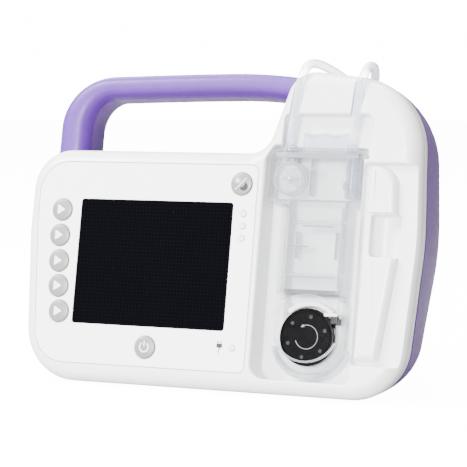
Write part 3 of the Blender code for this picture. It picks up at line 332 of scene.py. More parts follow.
BLACK = moulded("black_acetal", (0.0012, 0.0012, 0.0016), 0.30, grain=0.4, depth=0.010, mottle=0.08,
                Specular_IOR_Level=0.05)
BLACK_SATIN = moulded("black_satin", (0.004, 0.004, 0.005), 0.5, grain=0.3, depth=0.015, mottle=0.08,
                      Specular_IOR_Level=0.3)
PIN_WHITE = moulded("pin_white", (0.72, 0.72, 0.74), 0.3, grain=0.3, depth=0.004, mottle=0.03)
RUBBER = moulded("dark_rubber", (0.010, 0.010, 0.011), 0.78, grain=0.25, depth=0.03, mottle=0.10)
STEEL = metal("turned_steel", (0.62, 0.62, 0.64), 0.30)
ALUMINIUM = metal("pressed_sheet", (0.66, 0.67, 0.69), 0.36, (500.0, 60.0, 60.0))
BOARD = circuit_board()
CELLS = moulded("battery_wrap", (0.06, 0.12, 0.34), 0.35, grain=2.0, depth=0.03, mottle=0.12,
                Coat_Weight=0.3)
CLEAR = clear("clear_moulding", (0.66, 0.69, 0.74), 0.08, 0.02, 0.55, Coat_Weight=0.6, Coat_Roughness=0.04)
APRON = clear("clear_apron", (0.50, 0.53, 0.58), 0.08, 0.0, 0.5)
CLEAR_RIB = clear("clear_rib", (0.74, 0.77, 0.82), 0.10, 0.14, 0.80, Coat_Weight=0.6, Coat_Roughness=0.05)
CLEAR_BLUE = clear("clear_fitting", (0.50, 0.55, 0.68), 0.10, 0.22, 0.80, Coat_Weight=0.6,
                   Coat_Roughness=0.05)
TUBING = clear("clear_tubing", (0.68, 0.73, 0.86), 0.14, 0.26, 0.92, ripple=9.0, Coat_Weight=0.4,
               Coat_Roughness=0.1)
SILICONE = clear("silicone_tubing", (0.70, 0.72, 0.76), 0.26, 0.40, 0.92, ripple=5.0)
FITTING = moulded("purple_fitting", (0.09, 0.03, 0.24), 0.28, grain=0.5, depth=0.006, mottle=0.03,
                  Coat_Weight=0.3)


# --- drawing ------------------------------------------------------------------------------------


def outline(corners, inset=0.0, steps=12):
    """Points along a counter-clockwise outline with rounded corners (u, v, radius), drawn in by inset."""
    flat = [Vector(corner[:2]) for corner in corners]
    count = len(flat)
    along = [(flat[(i + 1) % count] - flat[i]).normalized() for i in range(count)]
    points = []
    for i, corner in enumerate(corners):
        before, after = along[i - 1], along[i]
        turn = math.atan2(before.cross(after), before.dot(after))
        inward = Vector((-before.y, before.x)) + Vector((-after.y, after.x))
        vertex = flat[i] + inward * inset / (1.0 + before.dot(after))
        radius = corner[2] - inset if turn > 0 else corner[2] + inset
        if corner[2] == 0 or abs(turn) < 1e-4:
            points.append(vertex)
            continue
        radius = max(radius, 0.3)
        turns = steps if corner[2] > 5 else max(3, steps // 2)
        start = vertex - before * radius * math.tan(abs(turn) / 2)
        side = Vector((-before.y, before.x)) * math.copysign(1, turn)
        centre = start + side * radius
        for step in range(turns + 1):
            points.append(centre + Matrix.Rotation(turn * step / turns, 2) @ (start - centre))
    return points


def rectangle(width, height, radius, centre=(0.0, 0.0)):
    left, right = centre[0] - width / 2, centre[0] + width / 2
    low, high = centre[1] - height / 2, centre[1] + height / 2
    return [(left, low, radius), (right, low, radius), (right, high, radius), (left, high, radius)]


def circle(centre, radius, sides=48):
    return [
        Vector((centre[0] + radius * math.cos(math.tau * i / sides),
                centre[1] + radius * math.sin(math.tau * i / sides)))
        for i in range(sides)
    ]


def around(centre, radius, degrees):
    angle = math.radians(degrees)
    return (centre[0] + radius * math.cos(angle), centre[1] + radius * math.sin(angle))


def quarter(radius, steps=8):
    """(drawn in, along) pairs around a quarter circle, from the flat end to the side."""
    angles = [math.pi / 2 * i / steps for i in range(steps + 1)]
    return [(radius * (1 - math.sin(a)), radius * (1 - math.cos(a))) for a in angles]


def mesh_object(name, bm, frame_matrix=FACE):
    bmesh.ops.recalc_face_normals(bm, faces=bm.faces)
    mesh = bpy.data.meshes.new(name)
    bm.to_mesh(mesh)
    bm.free()
    mesh.transform(frame_matrix)
    obj = bpy.data.objects.new(name, mesh)
    bpy.context.scene.collection.objects.link(obj)
    return obj


def loft(name, rings, frame_matrix=FACE):
    """A closed solid through rings of (u, v, w) points, equal in number, with both ends capped."""
    bm = bmesh.new()
    rows = [[bm.verts.new(Vector(point) * MM) for point in ring] for ring in rings]
    for low, high in zip(rows, rows[1:]):
        for i in range(len(low)):
            j = (i + 1) % len(low)
            bm.faces.new((low[i], low[j], high[j], high[i]))
    bm.faces.new(rows[0])
    bm.faces.new(rows[-1])
    return mesh_object(name, bm, frame_matrix)


def level(points, w):
    return [(point[0], point[1], w) for point in points]


def prism(name, points, low, high):
    return loft(name, [level(points, low), level(points, high)])


def slab(name, corners, low, high, front=0.0, back=0.0, steps=8, turns=4):
    """An outline between two depths, with a round of its own on the front and the back edge."""
    rings = []
    if back:
        rings += [level(outline(corners, drawn, steps), low + along) for drawn,
                  along in quarter(back, turns)]
    else:
        rings.append(level(outline(corners, 0.0, steps), low))
    if front:
        rounds = [(drawn, along) for drawn, along in reversed(quarter(front, turns))]
        rings += [level(outline(corners, drawn, steps), high - along) for drawn, along in rounds]
    else:
        rings.append(level(outline(corners, 0.0, steps), high))
    return loft(name, rings)


def pocket(name, corners, floor, mouth=0.0, fillet=1.0, flare=1.0, steps=10):
    """A cutter for a recess: a fillet at its floor, straight walls, and a round where it meets the face."""
    rings = [level(outline(corners, drawn, steps), floor + along) for drawn, along in quarter(fillet, 4)]
    for i in range(7):
        angle = math.pi / 2 * i / 6
        rings.append(level(outline(corners, -flare * (1 - math.cos(angle)), steps),
                           mouth - flare * (1 - math.sin(angle))))
    rings.append(level(outline(corners, -flare, steps), mouth + 12.0))
    return loft(name, rings)


def box(name, low, high, soft=0.0):
    """A box between two (u, v, w) corners, with its edges along w and its front edges rounded by soft."""
    wide, tall = high[0] - low[0], high[1] - low[1]
    centre = ((high[0] + low[0]) / 2, (high[1] + low[1]) / 2)
    return slab(name, rectangle(wide, tall, soft, centre), low[2], high[2], front=soft, steps=6, turns=3)


def rod(name, centre, radius, low, high, sides=48, soft=0.0):
    """A cylinder along w with its front rim rounded by soft."""
    rings = [level(circle(centre, radius, sides), low)]
    if soft:
        rings += [
            level(circle(centre, radius - drawn, sides),
                  high - along) for drawn, along in reversed(quarter(soft, 4))
        ]
    else:
        rings.append(level(circle(centre, radius, sides), high))
    return loft(name, rings)


def turned(name, profile, centre=(0.0, 0.0), sides=64, frame_matrix=FACE):
    """A closed solid turned about w through centre, from (radius, w) points between two on its axis."""
    bm = bmesh.new()
    first = bm.verts.new(Vector((*centre, profile[0][1])) * MM)
    last = bm.verts.new(Vector((*centre, profile[-1][1])) * MM)
    rows = [[bm.verts.new(Vector((p.x, p.y, w)) * MM) for p in circle(centre, r, sides)] for r,
            w in profile[1:-1]]
    for i in range(sides):
        j = (i + 1) % sides
        bm.faces.new((first, rows[0][i], rows[0][j]))
        bm.faces.new((last, rows[-1][j], rows[-1][i]))
        for low, high in zip(rows, rows[1:]):
            bm.faces.new((low[i], low[j], high[j], high[i]))
    return mesh_object(name, bm, frame_matrix)


def upright(name, foot, profile, sides=40):
    """A turned piece along v, from (radius, distance) points above the (u, v, w) foot."""
    stand = FACE @ Matrix.Translation(Vector(foot) * MM) @ Matrix.Rotation(-math.pi / 2, 4, "X")
    return turned(name, profile, sides=sides, frame_matrix=stand)


def bake(obj):
    """Applies what is on the piece's stack of modifiers."""
    graph = bpy.context.evaluated_depsgraph_get()
    mesh = bpy.data.meshes.new_from_object(obj.evaluated_get(graph))
    old = obj.data
    obj.modifiers.clear()
    obj.data = mesh
    bpy.data.meshes.remove(old)


def combine(obj, others, operation="DIFFERENCE", solver="MANIFOLD"):
    for other in others if isinstance(others, list) else [others]:
        modifier = obj.modifiers.new(other.name, "BOOLEAN")
        modifier.operation = operation
        modifier.solver = solver
        modifier.object = other
        bake(obj)
        bpy.data.objects.remove(other, do_unlink=True)
    return obj


def sweep(name, path, radius, sides):
    """A round bar of even radius along points in the face frame."""
    points = [Vector(p) for p in path]
    rings = []
    for i, spot in enumerate(points):
        ahead = points[min(i + 1, len(points) - 1)] - points[max(i - 1, 0)]
        turn = ahead.to_track_quat("Z", "X")
        rings.append([
            spot + turn @ Vector((radius * math.cos(math.tau * k / sides),
                                  radius * math.sin(math.tau * k / sides), 0.0))
            for k in range(sides)
        ])
    return loft(name, rings)


def finish(obj, look, body=CASING, slot="white_shell", replaces=(), sharp=32.0):
    """Gives a piece its finish, shading and place in the frame."""
    obj.data.materials.clear()
    obj.data.materials.append(look)
    if obj.type == "MESH":
        obj.data.polygons.foreach_set("material_index", [0] * len(obj.data.polygons))
        obj.data.shade_smooth()
        obj.data.set_sharp_from_angle(angle=math.radians(sharp))
        weighted = obj.modifiers.new("normals", "WEIGHTED_NORMAL")
        weighted.keep_sharp = True
        weighted.weight = 90
        bake(obj)
    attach(obj, body)
    if replaces:
        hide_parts(*replaces)
    return obj


def glaze(obj, look, **rest):
    """A piece of the clear cassette."""
    return finish(obj, look, slot="clear_plastic", **rest)


# --- the two lines ------------------------------------------------------------------------------

TUBE = 4.3  # outside diameter
COIL_MEAN = 24.5

# Each line rises from its ferrule, bends over the tower and hangs behind the back. Points in metres.
FEED_ROUTE = [
    (0.0353, -0.0242, 0.1186), (0.0360, -0.0238, 0.1242), (0.0383, -0.0231, 0.1383), (0.0399, -0.0224,
                                                                                      0.1480),
    (0.0411, -0.0176, 0.1548), (0.0424, -0.0088, 0.1563), (0.0447, 0.0047, 0.1534), (0.0470, 0.0199,
                                                                                     0.1484),
    (0.0482, 0.0342, 0.1432), (0.0480, 0.0462, 0.1366), (0.0471, 0.0527, 0.1250), (0.0464, 0.0544, 0.1050),
    (0.0461, 0.0545, 0.0800), (0.0459, 0.0544, 0.0500), (0.0456, 0.0540, 0.0240), (0.0436, 0.0532, 0.0100),
    (0.0356, 0.0522, 0.0034), (0.0220, 0.0506, 0.00215), (0.0020, 0.0489, 0.00215), (-0.0180, 0.0482,
                                                                                     0.00215),
    (-0.0340, 0.0484, 0.00215), (-0.0460, 0.0500, 0.00215), (-0.0555, 0.0537, 0.00215), (-0.0615, 0.0563,
                                                                                         0.00215),
]
PATIENT_ROUTE = [
    (0.0664, -0.0242, 0.1186), (0.0675, -0.0237, 0.1260), (0.0693, -0.0229, 0.1390), (0.0707, -0.0220,
                                                                                      0.1484),
    (0.0715, -0.0163, 0.1544), (0.0708, -0.0068, 0.1546), (0.0668, 0.0064, 0.1512), (0.0608, 0.0217,
                                                                                     0.1464),
    (0.0562, 0.0367, 0.1424), (0.0538, 0.0487, 0.1352), (0.0528, 0.0554, 0.1230), (0.0525, 0.0577, 0.1050),
    (0.0523, 0.0580, 0.0800), (0.0521, 0.0580, 0.0500), (0.0519, 0.0580, 0.0240), (0.0499, 0.0582, 0.0100),
    (0.0425, 0.0587, 0.0034), (0.0310, 0.0595, 0.00215), (0.0200, 0.0602, 0.00215), (0.0095, 0.0609,
                                                                                     0.00215),
]
FEED_COIL = (-72.5, 88.4, 3)  # x, y of its centre and turns side by side
PATIENT_COIL = (-6.0, 95.7, 5)


def smooth(points, step):
    """Points about a step apart along a smooth curve through the given ones."""
    ends = [2 * points[0] - points[1], *points, 2 * points[-1] - points[-2]]
    found = []
    for a, b, c, d in zip(ends, ends[1:], ends[2:], ends[3:]):
        count = max(1, round((c - b).length / step))
        for i in range(count):
            t = i / count
            bend = (2 * a - 5 * b + 4 * c - d) * t**2 + (3 * b - a - 3 * c + d) * t**3
            found.append(0.5 * (2 * b + (c - a) * t + bend))
    return found + [points[-1]]


def coil_turns(place, start, total, step=15):
    """Turns of a two-layer coil, clockwise from above: in along the bottom layer, then out over it."""
    x, y, across = place
    outer = COIL_MEAN + (across - 1) * TUBE / 2
    inner = COIL_MEAN - (across - 1) * TUBE / 2
    turns_in, climb = across - 1, 0.4
    count = round(total * 360 / step)
    points = []
    for i in range(count + 1):
        done = total * i / count
        lift = min(max((done - turns_in) / climb, 0.0), 1.0)
        lift = lift * lift * (3 - 2 * lift)
        radius = max(outer - TUBE * done, inner)
        if done > turns_in + climb / 2:
            radius = min(inner + TUBE * (done - turns_in - climb / 2), outer)
        angle = math.radians(start - 360 * done)
        points.append(Vector((x + radius * math.cos(angle), y + radius * math.sin(angle),
                              TUBE / 2 + TUBE * lift)))
    return points


def from_centre(place, radius, degrees, z):
    spot = around(place, radius, degrees)
    return Vector((spot[0], spot[1], z))


def line(name, points, coil_name, tube_name):
    curve = bpy.data.curves.new(name, "CURVE")
    curve.dimensions = "3D"
    curve.bevel_depth = TUBE / 2 * MM
    curve.bevel_resolution = 4
    curve.use_fill_caps = True
    spline = curve.splines.new("POLY")
    spline.points.add(len(points) - 1)
    for point, spot in zip(spline.points, points):
        point.co = (*(spot * MM), 1.0)
    spline.use_smooth = True
    obj = bpy.data.objects.new(name, curve)
    bpy.context.scene.collection.objects.link(obj)
    curve.materials.append(TUBING)
    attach(obj, CASING)
    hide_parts(tube_name, coil_name)
    return obj


def tie(name, place, degrees):
    """A soft strap round the coil's bundle."""
    x, y, across = place
    half = across * TUBE / 2 + 0.35
    top = 2 * TUBE + 0.35
    corners = [(-half, 0.05, 1.8), (half, 0.05, 1.8), (half, top, 1.8), (-half, top, 1.8)]
    where = around((x, y), COIL_MEAN, degrees)
    stand = Matrix.Translation(Vector((where[0], where[1],
                                       0.0)) * MM) @ Matrix.Rotation(math.radians(degrees), 4, "Z")
    stand = stand @ Matrix.Rotation(math.pi / 2, 4, "X")
    band = []
    for inset, w in ((0.0, -2.0), (0.0, 2.0), (0.5, 2.0), (0.5, -2.0)):
        band.append([(p.x, p.y, w) for p in outline(corners, inset, 8)])
    bm = bmesh.new()
    rows = [[bm.verts.new(Vector(p) * MM) for p in ring] for ring in band]
    for low, high in zip(rows, rows[1:] + rows[:1]):
        for i in range(len(low)):
            j = (i + 1) % len(low)
            bm.faces.new((low[i], low[j], high[j], high[i]))
    return finish(mesh_object(name, bm, stand), KEY_PRINT, slot="clear_tube")


def lying(name, start, profile, parts=()):
    """A turned fitting lying along +X or -X from its start, from (radius, distance) points."""
    x, y, z, way = start
    stand = Matrix.Translation(Vector((x, y, z)) * MM) @ Matrix.Rotation(way * math.pi / 2, 4, "Y")
    body = turned(name, profile, sides=40, frame_matrix=stand)
    for low, high in parts:
        wide, deep = high[0] - low[0], high[1] - low[1]
        flat = rectangle(wide, deep, 0.8, ((high[0] + low[0]) / 2, (high[1] + low[1]) / 2))
        rings = [level(outline(flat, 0.4, 6), low[2]), level(outline(flat, 0.0, 6), low[2] + 0.4)]
        rings += [level(outline(flat, 0.0, 6), high[2] - 0.4), level(outline(flat, 0.4, 6), high[2])]
        combine(body, loft(f"{name}_wings", rings, stand), "UNION")
    return finish(body, FITTING, slot="purple_fitting", replaces=(name.replace("fine_", ""),))


def lines():
    spike_start, connector_start = (-74.0, 125.2, 4.0, 1), (-12.0, 56.0, 4.5, -1)
    spike_body = [(0.0, 0.0), (2.9, 0.0), (3.4, 0.0), (3.8, 0.3), (4.0, 1.0), (4.0, 4.0), (3.6, 4.6),
                  (3.6, 5.6)]
    spike_body += [(4.0, 6.2), (4.0, 16.0), (2.9, 17.0), (2.9, 30.0), (2.2, 35.0), (0.6, 40.0), (0.0, 40.0)]
    spike = lying("fine_feed_spike", spike_start, spike_body, [((-1.3, -7.0, 12.0), (1.3, 7.0, 15.0))])
    cup = [(0.0, 0.0), (3.2, 0.0), (3.6, 0.6), (3.6, 8.0), (4.5, 9.0)]
    for i in range(5):
        cup += [(4.5, 9.6 + i * 2.2), (4.1, 10.2 + i * 2.2), (4.1, 10.9 + i * 2.2), (4.5, 11.5 + i * 2.2)]
    cup += [(4.5, 21.0), (3.9, 22.0), (3.2, 22.0), (3.2, 15.0), (0.0, 15.0)]
    connector = lying("fine_patient_connector", connector_start, cup)

    feed = [Vector(p) / MM for p in FEED_ROUTE]
    feed_turns = coil_turns(FEED_COIL, 246.6, 4.129)
    leave = [from_centre(FEED_COIL, r, a, z) for r, a, z in
             ((29.0, 186.0, 6.45), (30.6, 168.0, 6.3), (33.2, 148.0, 5.4), (35.4, 128.0, 4.4),
              (36.7, 108.0, 4.0))]
    end = Vector((-74.3, 125.2, 4.0))
    feed_points = smooth(feed + feed_turns + leave + [end], 2.0)
    patient = [Vector(p) / MM for p in PATIENT_ROUTE]
    patient_turns = coil_turns(PATIENT_COIL, 266.2, 7.864)
    tail = [Vector(p) for p in
            ((10.0, 66.6, 6.45), (4.6, 62.9, 6.75), (-1.5, 59.2, 6.6), (-7.0, 56.8, 5.3),
             (-11.7, 56.0, 4.5))]
    patient_points = smooth(patient + patient_turns + tail, 2.0)
    feed_ties = [tie(f"feed_coil_tie_{i + 1}", FEED_COIL, a) for i, a in enumerate((20.0, 320.0))]
    patient_ties = [tie(f"patient_coil_tie_{i + 1}", PATIENT_COIL, a) for i, a in enumerate((40.0, 160.0))]
    line("feed_line", feed_points, "feed_coil",
         "feed_tube")
    line("patient_line", patient_points,
         "patient_coil", "patient_tube")


lines()


# --- casing -------------------------------------------------------------------------------------


def base_v(depth):
    return depth * math.tan(TILT) - UNDERSIDE / math.cos(TILT)


def casing(depth):
    """Corners of the casing's outline at a depth behind the face."""
    draw = TAPER * max(depth - SEAM, 0.0) ** 2
    left, top = LEFT_SHARE * draw, TOP_SHARE * draw
    base = base_v(depth)
    return [
        (SCREEN_SIDE + 4.5 + left, base, 28.0),
        (TOWER_RIGHT - 4.9 - draw, base, 25.0),
        (TOWER_RIGHT - SIDE_SHARE * draw, 16.0, 150.0),
        (TOWER_RIGHT - 3.6 - CORNER_SHARE * draw, TOWER_TOP - TOWER_FALL - top, 36.0),
        (TOWER_LEFT + left, TOWER_TOP - top, 14.0),
        (TOWER_LEFT - 12.5 + left, SCREEN_TOP - top, 12.0),
        (SCREEN_SIDE + left, SCREEN_TOP - top, 20.0),
        (SCREEN_SIDE - 0.6 + left, 15.0, 60.0),
    ]


def ring_at(depth, inset=0.0):
    return level(outline(casing(depth), inset), -depth)


def casing_loft(name, near, far, front_round=0.0, back_round=0.0, inset=0.0, lip=False):
    """The casing's shape between two depths, drawn in by inset, with a fine groove by the seam if lip."""
    rings = [ring_at(near + along, inset + drawn) for drawn,
             along in quarter(front_round, 10)] if front_round else []
    if not front_round:
        rings = [ring_at(near, inset)]
    first, last = near + front_round, far - back_round
    if lip:
        rings += [ring_at(depth, inset + drawn) for depth, drawn in
                  ((9.4, 0.0), (9.7, 0.12), (9.9, 0.4), (10.4, 0.4), (10.6, 0.12), (10.9, 0.0), (13.5, 0.0),
                   (13.85, 0.15))]
        rings.append(ring_at(far, inset + 0.5))
        return loft(name, rings)
    middle = [first + (last - first) * i / 8 for i in range(1, 8)] if last - first > 20 else []
    rings += [ring_at(depth, inset) for depth in middle]
    if back_round:
        rings += [ring_at(far - along, inset + drawn) for drawn, along in reversed(quarter(back_round, 10))]
    else:
        rings.append(ring_at(far, inset))
    return loft(name, rings)


def pocket_corners():
    return [
        (BAY_LEFT, BAY_BOTTOM, 7.0), (BAY_RIGHT, BAY_BOTTOM, 3.0), (BAY_RIGHT, BAY_TOP, 2.0),
        (BAY_LEFT + 3.5, BAY_TOP, 2.0), (BAY_LEFT, BAY_TOP - 6.0, 4.0),
    ]


def ledge_corners():
    return [
        (LEDGE_LEFT, BAY_TOP - 6.0, 2.0), (LEDGE_RIGHT, BAY_TOP - 6.0, 2.0), (LEDGE_RIGHT, LEDGE_TOP - 3.0,
                                                                              1.0),
        (LEDGE_RIGHT - 3.0, LEDGE_TOP, 1.0), (LEDGE_LEFT, LEDGE_TOP, 2.0),
    ]


def shoulder_corners():
    edge = BAY_RIGHT + 0.6
    return [(edge, -43.0, 2.0), (150.0, -43.0, 2.0), (150.0, SHOULDER_TOP, 2.0), (edge, SHOULDER_TOP, 2.0)]


def groove(name, start, end):
    """A round-bottomed groove in the tower for one tube."""
    first, last = Vector(start), Vector(end)
    return sweep(name, [first + (last - first) * i / 6 for i in range(7)], GROOVE_RADIUS, 32)


def backing(name, low, high, deep):
    extra = casing_loft(name, 0.5, SEAM - 1.0, front_round=FRONT_ROUND - 0.5, inset=0.5)
    return combine(extra, prism(f"{name}_extent", outline(
        [(low[0], low[1], 0), (high[0], low[1], 0), (high[0], high[1], 0),
         (low[0], high[1], 0)]), -deep, 5.0), "INTERSECT")


def window_corners(grown=0.0):
    return rectangle(WINDOW[0] + 2 * grown, WINDOW[1] + 2 * grown, 1.2 + grown)


def front_housing():
    body = casing_loft("front_shell", 0.0, SEAM, front_round=FRONT_ROUND, lip=True)
    hollow = casing_loft("front_hollow", WALL, SEAM + 4, front_round=FRONT_ROUND - WALL, inset=WALL)
    combine(body, hollow)
    combine(body, [
        prism("bay_tub", outline(pocket_corners(), -BAY_WALL), -BAY_DEPTH - BAY_WALL, -2.0),
        prism("ledge_tub", outline(ledge_corners(), -BAY_WALL), -LEDGE_DEPTH - BAY_WALL, -3.2),
        backing("shoulder_backing", (BAY_RIGHT, -70.0), (150.0, SHOULDER_TOP + 2),
                SHOULDER + BAY_WALL + 0.6),
        backing("scoop_backing", (BAY_RIGHT + 0.5, 4.0), (131.0, 31.0), 11.6),
        backing("groove_backing", (64.0, LEDGE_TOP), (110.0, 110.0), 9.0),
    ], "UNION")
    combine(body, [
        pocket("bay_pocket", pocket_corners(), -BAY_DEPTH, flare=1.4),
        pocket("ledge_pocket", ledge_corners(), -LEDGE_DEPTH, flare=1.0),
        pocket("shoulder_step", shoulder_corners(), -SHOULDER, flare=1.6, fillet=1.4),
        pocket("overlay_recess", OVERLAY_SEAT, -OVERLAY_THICK - GAP, fillet=0.2, flare=0.25),
        prism("window_hole", outline(window_corners(GAP)), -WALL - 3, 5.0),
        upright("scoop_dish", (116.6, 7.4, -0.6), [(0.0, 0.0), (7.6, 0.0), (8.6, 1.0), (8.6, 19.2),
                                                   (7.6, 20.2), (0.0, 20.2)], 96),
    ])
    combine(body, [rod(f"key_hole_{i}", spot, KEY_RADIUS + KEY_CLEAR, -WALL - 3, 5.0) for i,
                   spot in enumerate(ALL_KEYS)])
    combine(body, [rod(f"light_hole_{i}", spot, LIGHT_RADIUS + KEY_CLEAR, -WALL - 3, 5.0, 32) for i,
                   spot in enumerate(ALL_LIGHTS)])
    combine(body, [
        rod("bearing_hole", ROTOR, 5.55, -20.0, -10.0),
        rod("valve_stem_hole", VALVE, 2.4, -20.0, -10.0),
        groove("feed_groove", (65.3, 55.0, -3.9), (72.8, 102.0, -0.4)),
        groove("patient_groove", (96.4, 55.0, -3.9), (103.0, 102.0, -0.4)),
    ])
    return finish(body, WHITE, replaces=("front_housing",))


OVERLAY_SEAT = [(u, v, radius + GAP) for u, v, radius in OVERLAY]


def side_rail():
    """The raised bar right of the bay: two bevelled blocks with a finger scoop sunk between them."""
    left = BAY_RIGHT + 1.0
    upper, lower, floor = 50.6, -41.0, -SHOULDER + GAP
    corners = [(left, lower, 1.0), (118.0, lower, 1.5), (124.0, 6.0, 3.0), (121.5, upper, 11.0),
               (left + 2.0, upper, 2.0)]
    slope = [(0.0, floor), (0.2, -2.8), (0.6, -1.8), (1.1, -1.0), (1.8, -0.4), (2.6, -0.05), (3.4, 0.0)]
    rail = loft("side_rail", [level(outline(corners, drawn), w) for drawn, w in slope])
    sill = [(left - 3.0, 7.0, 1.0), (140.0, 7.0, 1.0), (140.0, 28.0, 1.0), (left - 3.0, 28.0, 1.0)]
    combine(rail, pocket("scoop_sill", sill, -1.9, fillet=0.5, flare=0.6))
    scoop = [(left + 4.0, 7.6, 2.0), (140.0, 7.6, 1.0), (140.0, 27.4, 1.0), (left + 4.0, 27.4, 2.0)]
    combine(rail, pocket("finger_scoop", scoop, -9.0, mouth=-1.9, fillet=0.5, flare=0.7))
    return finish(rail, WHITE, replaces=("bay_side_rail",))


def handle_section(near, count=18):
    """(across, depth) points of the front or rear part of the grip's section, in half sizes."""
    power = 2.0 / 2.7
    middle = HANDLE_NEAR + HANDLE_DEEP / 2
    split = HANDLE_SPLIT if near else HANDLE_SPLIT + GAP
    start = math.asin(((middle - split) / (HANDLE_DEEP / 2)) ** (1 / power))
    turn = math.pi - 2 * start if near else -math.pi - 2 * start
    points = []
    for i in range(count + 1):
        angle = start + turn * i / count
        across = math.copysign(abs(math.cos(angle)) ** power, math.cos(angle))
        deep = math.copysign(abs(math.sin(angle)) ** power, math.sin(angle))
        points.append((across, middle - deep * HANDLE_DEEP / 2))
    return points


def handle_path():
    """(point, normal, half width) along the grip's middle, from inside the left root to inside the tower."""
    rows = [(Vector((HANDLE_LEG_U, 40.0 + i * 5.8)), 0.0) for i in range(5)]
    centre = Vector((HANDLE_LEG_U + HANDLE_BEND, 69.0))
    for i in range(0, 19):
        angle = math.pi / 2 * i / 18
        rows.append((centre + Vector((-math.cos(angle), math.sin(angle))) * HANDLE_BEND, i / 18))
    for i in range(1, 25):
        share = i / 24
        u = centre.x + (HANDLE_END_U - centre.x) * share
        rise = HANDLE_RISE * math.sin(math.pi / 2 * min(share * 1.3, 1.0))
        late = max((share - 0.55) / 0.45, 0.0)
        rows.append((Vector((u, HANDLE_TOP_V + rise - HANDLE_FALL * late ** 2)), 1.0))
    found = []
    for i, (spot, share) in enumerate(rows):
        ahead = rows[min(i + 1, len(rows) - 1)][0] - rows[max(i - 1, 0)][0]
        normal = Vector((-ahead.y, ahead.x)).normalized()
        eased = share * share * (3 - 2 * share)
        half = HANDLE_LEG_HALF + (HANDLE_TOP_HALF - HANDLE_LEG_HALF) * eased
        root = max((58.5 - spot.y) / 6.0, 0.0) if share == 0.0 else 0.0
        half += 1.2 * min(root, 1.0) ** 2
        found.append((spot, normal, half))
    return found


def handle_half(name, near):
    rings = []
    for spot, normal, half in handle_path():
        across = [(spot + normal * half * share, depth) for share, depth in handle_section(near)]
        rings.append([(point.x, point.y, -depth) for point, depth in across])
    return loft(name, rings)


def rear_housing():
    near = SEAM + SEAM_GAP
    body = casing_loft("rear_shell", near, DEPTH, back_round=BACK_ROUND)
    combine(body, handle_half("handle_rear_body", False), "UNION")
    combine(body, casing_loft("rear_hollow", near - 4, DEPTH - WALL, back_round=BACK_ROUND - WALL,
                              inset=WALL))
    back = -DEPTH
    cuts = [prism("door_recess", outline(rectangle(DOOR_SIZE[0] + 2 * GAP, DOOR_SIZE[1] + 2 * GAP, 3.3,
                                                   DOOR_PLACE)),
                  back - 3, back + DOOR_THICK + GAP)]
    cuts.append(prism("battery_mouth", outline(rectangle(DOOR_SIZE[0] - 8.0, DOOR_SIZE[1] - 8.0, 2.0,
                                                         DOOR_PLACE)),
                      back - 3, back + WALL + 1))
    cuts += [rod(f"clamp_bore_{i}", (CLAMP_PLACE[0] + side, CLAMP_PLACE[1]), SCREW_RADIUS + 0.2, back - 3,
                 back + 12, 24)
             for i, side in enumerate((-15.0, 15.0))]
    cuts.append(rod("inlet_hole", INLET, 5.8, back - 3, back + WALL + 1))
    cuts.append(prism("port_hole", outline(rectangle(*PORT_SIZE, 1.0, PORT)), back - 3, back + WALL + 1))
    for i in range(5):
        spot = (SPEAKER[0], SPEAKER[1] - 8.0 + 4.0 * i)
        cuts.append(prism(f"speaker_slot_{i + 1}", outline(rectangle(18.0, 1.8, 0.8, spot)), back - 3,
                          back + WALL + 1))
    posts = [rod(f"boss_{i}", spot, 4.6, back + 1.0, back + 22.0, 32) for i,
             spot in enumerate(HOUSING_SCREWS)]
    combine(body, posts, "UNION")
    for i, spot in enumerate(HOUSING_SCREWS):
        cuts.append(rod(f"boss_bore_{i}", spot, SCREW_RADIUS + 0.2, back - 3, back + 19.0, 24))
        cuts.append(rod(f"boss_seat_{i}", spot, SCREW_HEAD + 0.4, back - 3, back + SCREW_SINK, 32))
    combine(body, cuts)
    feet = []
    for i, (u, depth) in enumerate(FEET):
        spot = FACE @ (Vector((u, base_v(depth), -depth)) * MM)
        stand = Matrix.Translation((spot.x, spot.y, 0.0))
        feet.append(loft(f"foot_recess_{i}", [level(circle((0, 0), FOOT_RADIUS + GAP), w)
                                              for w in (-5.0, FOOT_DEEP)], stand))
    combine(body, feet)
    return finish(body, PURPLE, slot="purple_shell", replaces=("rear_housing",))


def handle_front():
    cover = handle_half("handle_front", True)
    combine(cover, casing_loft("handle_clearance", SEAM - 2, DEPTH, inset=-GAP))
    return finish(cover, LAVENDER, slot="lavender_grip", replaces=("handle_front_cover",))


front_housing()
side_rail()
rear_housing()
handle_front()


# --- face ---------------------------------------------------------------------------------------


def dome(radius, height=0.8):
    """Height of a key's domed top at a distance from its middle."""
    return 0.3 + height * math.sqrt(max(1.0 - (radius / KEY_RADIUS) ** 2, 0.0))


def frame_ring(name, corners, inner, outer, low, high, steps=12):
    """A thin closed band between two insets of an outline."""
    body = loft(name, [level(outline(corners, outer, steps), low),
                       level(outline(corners, outer, steps), high)])
    hole = loft(name + "_hole", [level(outline(corners, inner, steps), w) for w in (low - 1.0, high + 1.0)])
    return combine(body, hole)


def faceplate():
    sheet = slab("faceplate", OVERLAY, -OVERLAY_THICK, 0.0, front=0.15, steps=14, turns=3)
    combine(sheet, prism("faceplate_window", outline(window_corners(GAP)), -3.0, 3.0))
    holes = [rod(f"faceplate_key_{i}", spot, KEY_RADIUS + KEY_CLEAR, -3.0, 3.0) for i,
             spot in enumerate(ALL_KEYS)]
    holes += [rod(f"faceplate_light_{i}", spot, LIGHT_RADIUS + KEY_CLEAR, -3.0, 3.0, 32)
              for i, spot in enumerate(ALL_LIGHTS)]
    combine(sheet, holes)
    finish(sheet, OVERLAY_FILM, slot="printed_overlay", replaces=("faceplate_overlay",))
    finish(frame_ring("faceplate_border", OVERLAY, 0.75, 0.35, -0.2, 0.03), FILM_EDGE,
           slot="printed_overlay")


